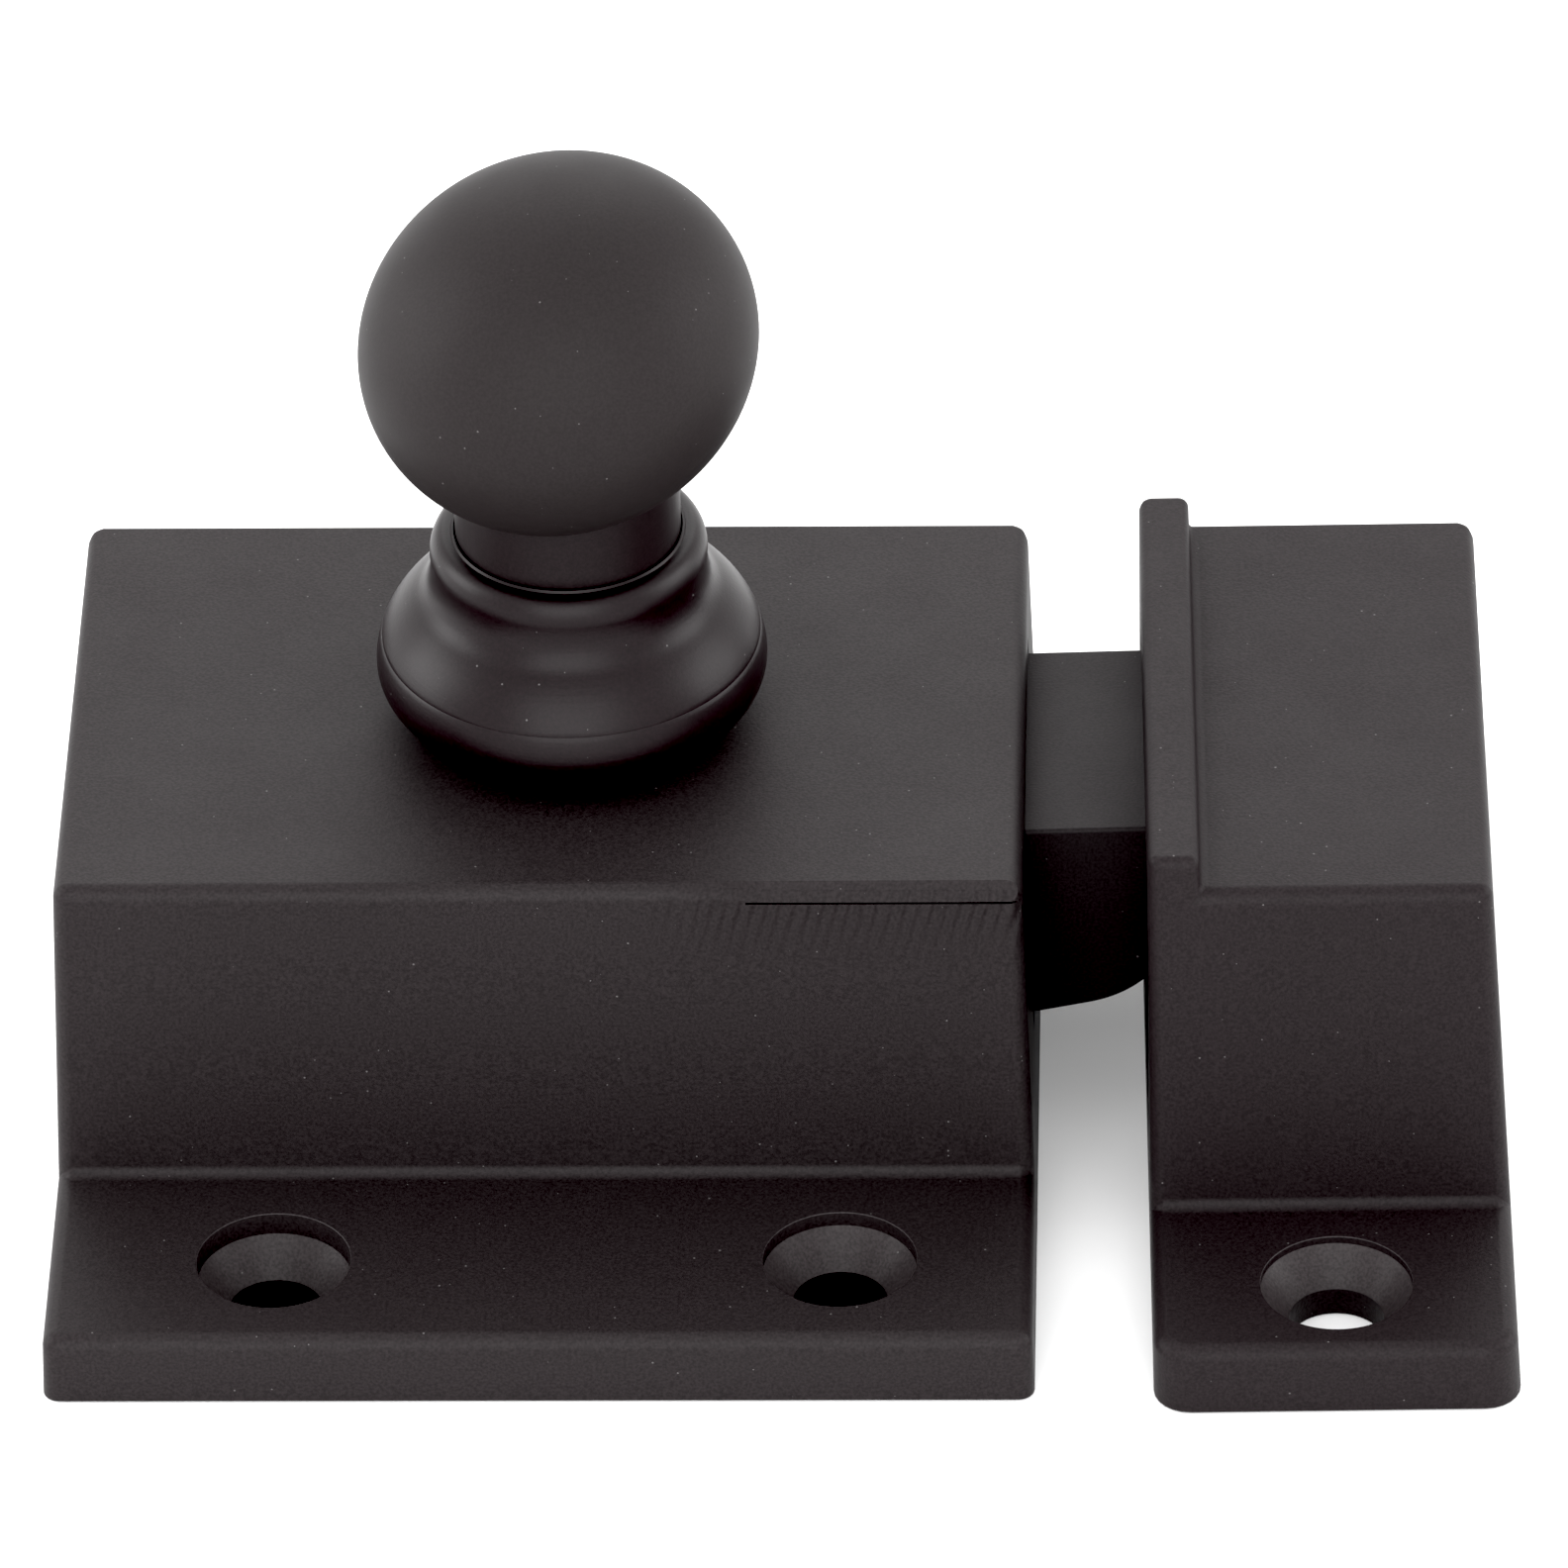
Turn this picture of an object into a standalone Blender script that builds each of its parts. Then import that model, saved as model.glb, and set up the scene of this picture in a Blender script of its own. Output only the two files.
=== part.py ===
"""Cabinet turn latch with its strike: a ball knob turns a cam that draws a sprung bolt back.

+Z is up off the mounting plane z = 0, +X is the way the bolt points, and the knob's axis is the Z axis.
"""

import math

import bmesh
import bpy
from mathutils import Matrix, Vector

MM = 0.001
GAP = 0.3 * MM  # between pieces that touch
OVERSHOOT = 1.0 * MM  # how far a cutter runs past the face it opens
BITE = 0.4 * MM  # how far a joined shape runs into the one it joins
MERGE_DISTANCE = 0.01 * MM

# Case: a flanged casting, open underneath
CASE_LEFT = -18.73 * MM
CASE_RIGHT = 16.80 * MM
CASE_HALF_DEPTH = 21.85 * MM
BODY_HALF_DEPTH = 11.50 * MM  # at the top plate
CASE_HEIGHT = 15.08 * MM
FLANGE_THICKNESS = 2.69 * MM
SIDE_DRAFT = 0.027  # per unit of height
FRONT_DRAFT = 0.029
FLANGE_END_DRAFT = 0.04
CASE_WALL = 1.60 * MM
TOP_PLATE = 1.20 * MM
EDGE_RADIUS = 0.5 * MM
CEILING = CASE_HEIGHT - TOP_PLATE

# Screw holes for number 4 flat heads
HOLE_XS = (-10.57 * MM, 9.77 * MM)
HOLE_Y = 16.99 * MM
HEAD_RADIUS = 2.81 * MM
SHANK_RADIUS = 1.70 * MM
HEAD_RECESS = 0.70 * MM
CONE_DEPTH = 1.30 * MM

# Bolt and its channel
BOLT_Y = 0.30 * MM
BOLT_HALF_WIDTH = 5.53 * MM
BOLT_TOP = 13.05 * MM
BOLT_TIP_TOP = 13.35 * MM
BAR_UNDERSIDE = 9.40 * MM
BLOCK_LEFT = 14.40 * MM
BLOCK_UNDERSIDE = 4.60 * MM
NOSE_START = Vector((15.0 * MM, 4.60 * MM))
NOSE_ARC_START_X = 18.70 * MM
NOSE_RADIUS = 4.20 * MM
NOSE_SLOPE = math.radians(12.1)
RAMP_SLOPE = math.radians(40.0)
RAMP_TOP = 9.60 * MM
LUG_THICKNESS = 2.20 * MM
LUG_UNDERSIDE = 5.20 * MM
TRAVEL = 5.80 * MM
RIB_THICKNESS = 1.20 * MM
RIB_LEFT = -12.0 * MM
WINDOW_SLACK = 0.15 * MM  # past the ribs' inner faces
BOLT_EDGE_RADIUS = 0.25 * MM

# Cam: its flank is an involute, so the bolt moves evenly over a quarter turn
CAM_FLAT = 2.50 * MM
CAM_TURN = math.radians(90.0)
CAM_BASE_RADIUS = TRAVEL / CAM_TURN
LUG_RIGHT = -CAM_FLAT - GAP
LUG_LEFT = LUG_RIGHT - LUG_THICKNESS
CAM_BOTTOM = 5.40 * MM
CAM_TOP = 8.75 * MM
CAM_BACK = 3.00 * MM
CAM_BACK_HALF = 2.50 * MM
CAM_TIP = Vector((0.8 * MM, 0.7 * MM))  # the tip's blunt end
SQUARE = 2.70 * MM
SQUARE_HOLE = 3.00 * MM

# Rosette, knob and spindle, by height above the top plate where marked
BORE_RADIUS = 4.30 * MM
SPIGOT_RADIUS = 4.00 * MM
ROSETTE_BORE = 3.30 * MM
COUNTERBORE_RADIUS = 4.25 * MM
COUNTERBORE_FLOOR = CASE_HEIGHT + 6.30 * MM
ROSETTE_TOP = CASE_HEIGHT + 7.95 * MM
BEAD_CENTRE = Vector((4.30 * MM, CASE_HEIGHT + 6.85 * MM))
BEAD_RADIUS_X = 0.80 * MM
BEAD_RADIUS_Z = 1.02 * MM
NOTCH_RADIUS = 4.75 * MM
NOTCH_HEIGHT = CASE_HEIGHT + 5.60 * MM
BELL_RADIUS = 7.08 * MM
BELL_WIDEST = CASE_HEIGHT + 2.30 * MM
BELL_UPPER_CURVE = (8.69 * MM, 5.00 * MM)  # half-axes of the ellipse above the widest line
BELL_LOWER_CURVE = (1.35 * MM, 1.50 * MM)  # and below it
FOOT_RADIUS = 6.20 * MM
NECK_RADIUS = 4.07 * MM
NECK_STEP = CASE_HEIGHT + 7.20 * MM
KNOB_SHANK_RADIUS = 3.00 * MM
KNOB_SHANK_BOTTOM = 13.60 * MM
BALL_CENTRE = CASE_HEIGHT + 15.82 * MM
BALL_RADIUS = 7.14 * MM
BALL_HALF_HEIGHT = 6.73 * MM
KNOB_BORE_RADIUS = 1.90 * MM
KNOB_BORE_TOP = 22.0 * MM
DRILL_POINT = 0.80 * MM
THREAD_RADIUS = 1.60 * MM
SPINDLE_RADIUS = 2.20 * MM
TENON_RADIUS = 1.00 * MM
TENON_BOTTOM = 3.20 * MM
SPINDLE_TOP = KNOB_BORE_TOP - 0.60 * MM

# Washers and the ring, by inner radius, outer radius, bottom and top
THRUST_WASHER = (
    KNOB_SHANK_RADIUS + GAP, NECK_RADIUS - 0.15 * MM, COUNTERBORE_FLOOR + 0.20 * MM, NECK_STEP - 0.20 * MM,
)
CAM_WASHER = (TENON_RADIUS + GAP, 2.60 * MM, CAM_BOTTOM - 1.10 * MM, CAM_BOTTOM - 2 * GAP)
RETAINING_RING = (TENON_RADIUS + 0.15 * MM, 2.20 * MM, CAM_BOTTOM - 1.90 * MM, CAM_BOTTOM - 1.40 * MM)

# Spring and its guide
SPRING_Z = 7.60 * MM
SPRING_RADIUS = 1.95 * MM
WIRE_RADIUS = 0.25 * MM
SPRING_TURNS = 8
POINTS_PER_TURN = 10
CLOSED_TURN_GAP = 0.05 * MM
GUIDE_RADIUS = 0.90 * MM
GUIDE_LENGTH = 5.80 * MM
GUIDE_CHAMFER = 0.30 * MM
GUIDE_SEAT = 1.10 * MM  # how deep the pin stands in the lug
SOCKET_DEPTH = 1.40 * MM

# Back plate and its screws
PLATE_THICKNESS = 0.90 * MM
PLATE_HALF_DEPTH = 11.70 * MM
PLATE_LEDGE = 0.50 * MM  # past the hollow at each end
BOSS_RADIUS = 1.90 * MM
BOSS_SET_BACK = 0.10 * MM  # below the plate's seat
BOSS_YS = (-8.40 * MM, 8.40 * MM)
BOSS_XS = (-15.20 * MM, 13.30 * MM)
PILOT_RADIUS = 1.10 * MM
PLATE_SCREW_RADIUS = 0.80 * MM
PLATE_SCREW_HEAD = 1.60 * MM
PLATE_SCREW_HEAD_EDGE = 0.10 * MM
PLATE_SCREW_LENGTH = 5.00 * MM
SLOT_HALF_WIDTH = 0.20 * MM
SLOT_DEPTH = 0.35 * MM

# Strike, in its own axes: x from its left face, y from its middle
STRIKE_PLACE = Vector((20.67 * MM, -1.69 * MM, 0))
STRIKE_TURN = math.radians(1.05)
STRIKE_WIDTH = 13.15 * MM
STRIKE_HALF_DEPTH = 20.97 * MM
STRIKE_BODY_HALF_DEPTH = 11.60 * MM
STRIKE_HEIGHT = 16.08 * MM
STRIKE_SIDE_DRAFT = 0.052
STRIKE_FRONT_DRAFT = 0.052
LIP_HEIGHT = 1.42 * MM
LIP_WIDTH = 1.85 * MM
LIP_END_INSET = 0.45 * MM
LIP_FILLET = 0.50 * MM
LIP_SET_BACK = 0.03 * MM
FILLET_DIP = 0.05 * MM  # how far the fillet's foot runs into the top
LIP_EDGE_RADIUS = 0.40 * MM
LIP_ROOT = 14.70 * MM  # where the lip starts inside the casting
STRIKE_EDGE_RADIUS = 0.70 * MM
STRIKE_HOLE_X = 6.60 * MM
STRIKE_HOLE_Y = 16.87 * MM
STRIKE_HEAD_RECESS = 0.30 * MM
STRIKE_WALL = 1.80 * MM
MOUTH_HALF_WIDTH = 8.40 * MM
MOUTH_TOP = 13.90 * MM

BLACK = (0.012, 0.012, 0.012, 1.0)
STEEL = (0.45, 0.45, 0.46, 1.0)
BRASS = (0.60, 0.45, 0.20, 1.0)
NYLON = (0.75, 0.74, 0.70, 1.0)


def clear_scene():
    for obj in list(bpy.data.objects):
        bpy.data.objects.remove(obj, do_unlink=True)


def new_collection(name):
    collection = bpy.data.collections.new(name)
    bpy.context.scene.collection.children.link(collection)
    return collection


def make_material(name, colour, metallic, roughness):
    material = bpy.data.materials.new(name)
    material.use_nodes = True
    shader = material.node_tree.nodes["Principled BSDF"]
    shader.inputs["Base Color"].default_value = colour
    shader.inputs["Metallic"].default_value = metallic
    shader.inputs["Roughness"].default_value = roughness
    return material


def finish(obj, material, parent=None):
    """Puts a part in the latch's collection, with its own material."""
    PARTS.objects.link(obj)
    obj.data.materials.append(material)
    if obj.type == "MESH":
        obj.data.shade_smooth()
        obj.data.set_sharp_from_angle(angle=math.radians(30))
    obj.parent = parent
    return obj


def mesh_object(name, mesh_builder):
    """A mesh object whose shape mesh_builder(bm) makes."""
    mesh = bpy.data.meshes.new(name)
    bm = bmesh.new()
    mesh_builder(bm)
    bm.to_mesh(mesh)
    bm.free()
    return bpy.data.objects.new(name, mesh)


def box(name, low, high):
    low, high = Vector(low), Vector(high)
    size = high - low
    place = Matrix.Translation((low + high) / 2) @ Matrix.Diagonal((*size, 1))
    return mesh_object(name, lambda bm: bmesh.ops.create_cube(bm, size=1, matrix=place))


def cylinder(name, radius, bottom, top, x=0.0, y=0.0, segments=32):
    place = Matrix.Translation((x, y, (bottom + top) / 2))

    def build(bm):
        bmesh.ops.create_cone(bm, cap_ends=True, segments=segments, radius1=radius,
                              radius2=radius, depth=top - bottom, matrix=place)

    return mesh_object(name, build)


def extruded(name, outline, depth, placing):
    """A flat outline in XY made solid from z = 0 to depth, then placed by a matrix."""
    curve = bpy.data.curves.new(name, "CURVE")
    curve.dimensions = "2D"
    curve.fill_mode = "BOTH"
    curve.extrude = depth / 2
    spline = curve.splines.new("POLY")
    spline.points.add(len(outline) - 1)
    for point, (x, y) in zip(spline.points, outline):
        point.co = (x, y, 0, 1)
    spline.use_cyclic_u = True
    flat = bpy.data.objects.new(name + "_outline", curve)
    bpy.context.scene.collection.objects.link(flat)
    bpy.context.view_layer.update()
    mesh = bpy.data.meshes.new_from_object(flat.evaluated_get(bpy.context.evaluated_depsgraph_get()))
    bpy.data.objects.remove(flat, do_unlink=True)
    mesh.name = name
    bm = bmesh.new()
    bm.from_mesh(mesh)
    bmesh.ops.remove_doubles(bm, verts=bm.verts, dist=MERGE_DISTANCE)
    bmesh.ops.dissolve_limit(bm, angle_limit=math.radians(0.5), verts=bm.verts, edges=bm.edges)
    bmesh.ops.transform(bm, matrix=placing @ Matrix.Translation((0, 0, depth / 2)), verts=bm.verts)
    bmesh.ops.recalc_face_normals(bm, faces=bm.faces)
    bm.to_mesh(mesh)
    bm.free()
    return bpy.data.objects.new(name, mesh)


def along_x(start):
    """Places an outline in (y, z), made solid along X from start."""
    return Matrix(((0, 0, 1, start), (1, 0, 0, 0), (0, 1, 0, 0), (0, 0, 0, 1)))


def along_y(back):
    """Places an outline in (x, z), made solid along -Y from back."""
    return Matrix(((1, 0, 0, 0), (0, 0, -1, back), (0, 1, 0, 0), (0, 0, 0, 1)))


def turned(name, profile, closed=False, steps=48):
    """A profile of (radius, height) points turned about Z, running down its outer side."""
    count = len(profile)
    edges = [(i, i + 1) for i in range(count - 1)]
    if closed:
        edges.append((count - 1, 0))
    mesh = bpy.data.meshes.new(name)
    mesh.from_pydata([(radius, 0, height) for radius, height in profile], edges, [])
    obj = bpy.data.objects.new(name, mesh)
    screw = obj.modifiers.new("Turn", "SCREW")
    screw.steps = steps
    screw.render_steps = steps
    screw.use_merge_vertices = True
    screw.merge_threshold = MERGE_DISTANCE
    screw.use_normal_calculate = False
    screw.use_smooth_shade = True
    return obj


def cutter(obj):
    CUTTERS.objects.link(obj)
    obj.hide_render = True
    obj.display_type = "WIRE"
    return obj


def boolean(obj, other, operation="DIFFERENCE"):
    modifier = obj.modifiers.new(other.name, "BOOLEAN")
    modifier.operation = operation
    modifier.solver = "EXACT"
    modifier.object = other


def round_edges(obj, width, segments=2, angle=40):
    bevel = obj.modifiers.new("Rounded edges", "BEVEL")
    bevel.width = width
    bevel.segments = segments
    bevel.limit_method = "ANGLE"
    bevel.angle_limit = math.radians(angle)


def arc(centre, radius_x, radius_z, start, end, count):
    """Points of an ellipse's arc between two angles in degrees, ends included."""
    angles = [math.radians(start + (end - start) * i / count) for i in range(count + 1)]
    return [(centre[0] + radius_x * math.cos(a), centre[1] + radius_z * math.sin(a)) for a in angles]


def casting_outline(half_depth, body_half_depth, height, draft, end_draft):
    """The hat-shaped section of a flanged casting, as (y, z)."""
    foot = body_half_depth + draft * (height - FLANGE_THICKNESS)
    edge = half_depth - end_draft * FLANGE_THICKNESS
    right = [(half_depth, 0), (edge, FLANGE_THICKNESS), (foot, FLANGE_THICKNESS), (body_half_depth, height)]
    return right + [(-y, z) for y, z in reversed(right)]


def drafted(obj, left, right, left_draft, right_draft):
    """Leans the two end faces of a casting in towards the top."""
    middle = (left + right) / 2
    for vertex in obj.data.vertices:
        draft = left_draft if vertex.co.x < middle else -right_draft
        vertex.co.x += draft * vertex.co.z
    return obj


def head_recess(name, x, y, top, recess):
    """Cuts a flat-head screw's hole: a shallow straight recess, a cone and a through hole."""
    profile = [
        (0, top + OVERSHOOT),
        (HEAD_RADIUS, top + OVERSHOOT),
        (HEAD_RADIUS, top - recess),
        (SHANK_RADIUS, top - recess - CONE_DEPTH),
        (SHANK_RADIUS, -OVERSHOOT),
        (0, -OVERSHOOT),
    ]
    hole = cutter(turned(name, profile))
    hole.location = (x, y, 0)
    return hole


def corner_places():
    return [(x, y) for y in BOSS_YS for x in BOSS_XS]


def make_case(material):
    outline = casting_outline(CASE_HALF_DEPTH, BODY_HALF_DEPTH, CASE_HEIGHT, FRONT_DRAFT, FLANGE_END_DRAFT)
    case = extruded("latch_case", outline, CASE_RIGHT - CASE_LEFT, along_x(CASE_LEFT))
    drafted(case, CASE_LEFT, CASE_RIGHT, SIDE_DRAFT, SIDE_DRAFT)
    round_edges(case, EDGE_RADIUS)

    lean = SIDE_DRAFT * CASE_HEIGHT
    inside_left = CASE_LEFT + lean + CASE_WALL
    inside_right = CASE_RIGHT - lean - CASE_WALL
    inside_depth = BODY_HALF_DEPTH - CASE_WALL
    floor = PLATE_THICKNESS + GAP
    boolean(case, cutter(box("case_hollow", (inside_left, -inside_depth, -OVERSHOOT),
                             (inside_right, inside_depth, CEILING))))
    recess = PLATE_HALF_DEPTH + GAP
    boolean(case, cutter(box("back_plate_recess", (inside_left - PLATE_LEDGE, -recess, -OVERSHOOT),
                             (inside_right + PLATE_LEDGE, recess, floor))))
    slack = BOLT_HALF_WIDTH + GAP
    window = slack + WINDOW_SLACK
    for side in (-1, 1):
        face = BOLT_Y + side * slack
        low, high = sorted((face, face + side * RIB_THICKNESS))
        boolean(case, cutter(box(f"bolt_guide_rib_{side}", (RIB_LEFT, low, BAR_UNDERSIDE),
                                 (inside_right + BITE, high, CEILING + BITE))), "UNION")
    for number, (x, y) in enumerate(corner_places(), 1):
        boolean(case, cutter(cylinder(f"corner_boss_{number}", BOSS_RADIUS, floor + BOSS_SET_BACK,
                                      CEILING + BITE, x, y, 24)), "UNION")
        boolean(case, cutter(cylinder(f"pilot_hole_{number}", PILOT_RADIUS, floor - OVERSHOOT,
                                      floor + PLATE_SCREW_LENGTH, x, y, 20)))
    window_low = (inside_right - OVERSHOOT, BOLT_Y - window, BLOCK_UNDERSIDE - GAP)
    window_high = (CASE_RIGHT + OVERSHOOT, BOLT_Y + window, BOLT_TIP_TOP + GAP)
    boolean(case, cutter(box("bolt_window", window_low, window_high)))
    boolean(case, cutter(cylinder("knob_bore", BORE_RADIUS, CEILING - OVERSHOOT, CASE_HEIGHT + OVERSHOOT,
                                  segments=48)))
    for x in HOLE_XS:
        for y in (-HOLE_Y, HOLE_Y):
            boolean(case, head_recess("case_screw_hole", x, y, FLANGE_THICKNESS, HEAD_RECESS))
    return finish(case, material)


def make_rosette(material):
    upper_x, upper_z = BELL_UPPER_CURVE
    lower_x, lower_z = BELL_LOWER_CURVE
    profile = (
        [(COUNTERBORE_RADIUS, COUNTERBORE_FLOOR), (COUNTERBORE_RADIUS, ROSETTE_TOP)]
        + arc(BEAD_CENTRE, BEAD_RADIUS_X, BEAD_RADIUS_Z, 75, -50, 8)
        + [(NOTCH_RADIUS, NOTCH_HEIGHT)]
        + arc((BELL_RADIUS - upper_x, BELL_WIDEST), upper_x, upper_z, 35, 0, 5)
        + arc((BELL_RADIUS - lower_x, BELL_WIDEST), lower_x, lower_z, -20, -68, 3)
        + [
            (FOOT_RADIUS, CASE_HEIGHT + GAP),
            (SPIGOT_RADIUS, CASE_HEIGHT + GAP),
            (SPIGOT_RADIUS, CEILING),
            (ROSETTE_BORE, CEILING),
            (ROSETTE_BORE, COUNTERBORE_FLOOR),
        ]
    )
    return finish(turned("rosette", profile, closed=True, steps=48), material)


def make_knob(material, parent):
    """Ball, neck and shank in one, bored from below for the spindle."""
    meeting = math.degrees(math.acos(NECK_RADIUS / BALL_RADIUS))
    profile = (
        arc((0, BALL_CENTRE), BALL_RADIUS, BALL_HALF_HEIGHT, 90, -meeting, 18)
        + [
            (NECK_RADIUS, NECK_STEP),
            (KNOB_SHANK_RADIUS, NECK_STEP),
            (KNOB_SHANK_RADIUS, KNOB_SHANK_BOTTOM),
            (KNOB_BORE_RADIUS, KNOB_SHANK_BOTTOM),
            (KNOB_BORE_RADIUS, KNOB_BORE_TOP),
            (0, KNOB_BORE_TOP + DRILL_POINT),
        ]
    )
    return finish(turned("knob", profile, steps=48), material, parent)


def make_washer(name, sizes, material, parent):
    inner, outer, bottom, top = sizes
    profile = [(outer, top), (outer, bottom), (inner, bottom), (inner, top)]
    return finish(turned(name, profile, closed=True, steps=32), material, parent)


def make_spindle(material, parent):
    """Threaded into the knob, round through the bolt's slot, square for the cam, with a thin tip."""
    square_top = CAM_TOP + GAP
    square_bottom = CAM_BOTTOM - GAP
    profile = [
        (0, SPINDLE_TOP),
        (THREAD_RADIUS, SPINDLE_TOP),
        (THREAD_RADIUS, KNOB_SHANK_BOTTOM - GAP),
        (SPINDLE_RADIUS, KNOB_SHANK_BOTTOM - GAP),
        (SPINDLE_RADIUS, square_top),
        (TENON_RADIUS, square_top),
        (TENON_RADIUS, TENON_BOTTOM),
        (0, TENON_BOTTOM),
    ]
    spindle = turned("spindle", profile, steps=32)
    half = SQUARE / 2
    boolean(spindle, cutter(box("spindle_square", (-half, -half, square_bottom),
                                (half, half, square_top + BITE))), "UNION")
    return finish(spindle, material, parent)


def cam_flank(steps=10):
    """The involute from the flat to the cam's tip, on the -Y side, as (x, y)."""
    points = []
    for step in range(steps + 1):
        turn = CAM_TURN * step / steps
        reach = CAM_FLAT + CAM_BASE_RADIUS * turn
        points.append((
            -reach * math.cos(turn) + CAM_BASE_RADIUS * math.sin(turn),
            -reach * math.sin(turn) - CAM_BASE_RADIUS * math.cos(turn),
        ))
    return points


def make_cam(material, parent):
    flank = cam_flank()
    tip_x, tip_y = flank[-1]
    lower = flank + [(tip_x + CAM_TIP.x, tip_y + CAM_TIP.y), (CAM_BACK, -CAM_BACK_HALF)]
    outline = lower + [(x, -y) for x, y in reversed(lower)]
    cam = extruded("cam", outline, CAM_TOP - CAM_BOTTOM, Matrix.Translation((0, 0, CAM_BOTTOM)))
    half = SQUARE_HOLE / 2
    boolean(cam, cutter(box("cam_square_hole", (-half, -half, CAM_BOTTOM - OVERSHOOT),
                            (half, half, CAM_TOP + OVERSHOOT))))
    return finish(cam, material, parent)


def nose_outline():
    """The nose's underside from the channel to the foot of the tip face, as (x, z)."""
    straight = NOSE_ARC_START_X - NOSE_START.x
    start = Vector((NOSE_ARC_START_X, NOSE_START.y + math.tan(NOSE_SLOPE) * straight))
    centre = start + NOSE_RADIUS * Vector((-math.sin(NOSE_SLOPE), math.cos(NOSE_SLOPE)))
    curve = arc(centre, NOSE_RADIUS, NOSE_RADIUS, -90 + math.degrees(NOSE_SLOPE),
                -90 + math.degrees(RAMP_SLOPE), 5)
    ramp_x = curve[-1][0] + (RAMP_TOP - curve[-1][1]) / math.tan(RAMP_SLOPE)
    return [(NOSE_START.x, NOSE_START.y)] + curve + [(ramp_x, RAMP_TOP)], ramp_x


def make_bolt(material, parent):
    """A bar with a slot for the spindle, a deep nose block and a lug that the cam pushes."""
    nose, tip_x = nose_outline()
    outline = (
        [(LUG_LEFT, LUG_UNDERSIDE), (LUG_RIGHT, LUG_UNDERSIDE), (LUG_RIGHT, BAR_UNDERSIDE),
         (BLOCK_LEFT, BAR_UNDERSIDE), (BLOCK_LEFT, BLOCK_UNDERSIDE)]
        + nose
        + [(tip_x, BOLT_TIP_TOP), (BLOCK_LEFT, BOLT_TOP), (LUG_LEFT, BOLT_TOP)]
    )
    back = BOLT_Y + BOLT_HALF_WIDTH
    bolt = extruded("latch_bolt", outline, 2 * BOLT_HALF_WIDTH, along_y(back))
    round_edges(bolt, BOLT_EDGE_RADIUS)
    slack = SPINDLE_RADIUS + GAP
    boolean(bolt, cutter(box("spindle_slot", (-slack, -slack, BAR_UNDERSIDE - OVERSHOOT),
                             (TRAVEL + slack, slack, BOLT_TOP + OVERSHOOT))))
    socket = cylinder("guide_pin_socket", GUIDE_RADIUS + GAP, -SOCKET_DEPTH, OVERSHOOT, segments=20)
    sideways = Matrix.Rotation(math.radians(-90), 4, "Y")
    socket.matrix_world = Matrix.Translation((LUG_LEFT, 0, SPRING_Z)) @ sideways
    boolean(bolt, cutter(socket))
    return finish(bolt, material, parent)


def make_guide_pin(material, parent):
    profile = [
        (0, GUIDE_LENGTH),
        (GUIDE_RADIUS - GUIDE_CHAMFER, GUIDE_LENGTH),
        (GUIDE_RADIUS, GUIDE_LENGTH - GUIDE_CHAMFER),
        (GUIDE_RADIUS, 0),
        (0, 0),
    ]
    pin = turned("spring_guide_pin", profile, steps=24)
    pin.location = (LUG_LEFT + GUIDE_SEAT, 0, SPRING_Z)
    pin.rotation_euler = (0, math.radians(-90), 0)
    return finish(pin, material, parent)


def make_spring(material, parent):
    """A compression spring along X with a closed turn at each end."""
    start = CASE_LEFT + SIDE_DRAFT * CASE_HEIGHT + CASE_WALL + GAP + WIRE_RADIUS
    end = LUG_LEFT - GAP - WIRE_RADIUS
    wire = 2 * WIRE_RADIUS + CLOSED_TURN_GAP
    count = SPRING_TURNS * POINTS_PER_TURN
    curve = bpy.data.curves.new("bolt_spring", "CURVE")
    curve.dimensions = "3D"
    curve.bevel_depth = WIRE_RADIUS
    curve.bevel_resolution = 2
    curve.use_fill_caps = True
    spline = curve.splines.new("POLY")
    spline.points.add(count)
    active = end - start - 2 * wire
    for number, point in enumerate(spline.points):
        turn = number / POINTS_PER_TURN
        along = start + wire * min(turn, 1) + wire * max(turn - SPRING_TURNS + 1, 0)
        along += active * min(max((turn - 1) / (SPRING_TURNS - 2), 0), 1)
        angle = 2 * math.pi * turn
        point.co = (along, SPRING_RADIUS * math.cos(angle), SPRING_Z + SPRING_RADIUS * math.sin(angle), 1)
    return finish(bpy.data.objects.new("bolt_spring", curve), material, parent)


def make_back_plate(material):
    lean = SIDE_DRAFT * CASE_HEIGHT
    left = CASE_LEFT + lean + CASE_WALL - PLATE_LEDGE + GAP
    right = CASE_RIGHT - lean - CASE_WALL + PLATE_LEDGE - GAP
    plate = box("back_plate", (left, -PLATE_HALF_DEPTH, 0), (right, PLATE_HALF_DEPTH, PLATE_THICKNESS))
    for x, y in corner_places():
        profile = [
            (0, PLATE_THICKNESS + OVERSHOOT),
            (PLATE_SCREW_RADIUS + GAP, PLATE_THICKNESS + OVERSHOOT),
            (PLATE_SCREW_RADIUS + GAP, PLATE_THICKNESS - PLATE_SCREW_HEAD_EDGE),
            (PLATE_SCREW_HEAD + GAP, 0),
            (PLATE_SCREW_HEAD + GAP, -OVERSHOOT),
            (0, -OVERSHOOT),
        ]
        hole = cutter(turned("back_plate_hole", profile, steps=24))
        hole.location = (x, y, 0)
        boolean(plate, hole)
    return finish(plate, material)


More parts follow.
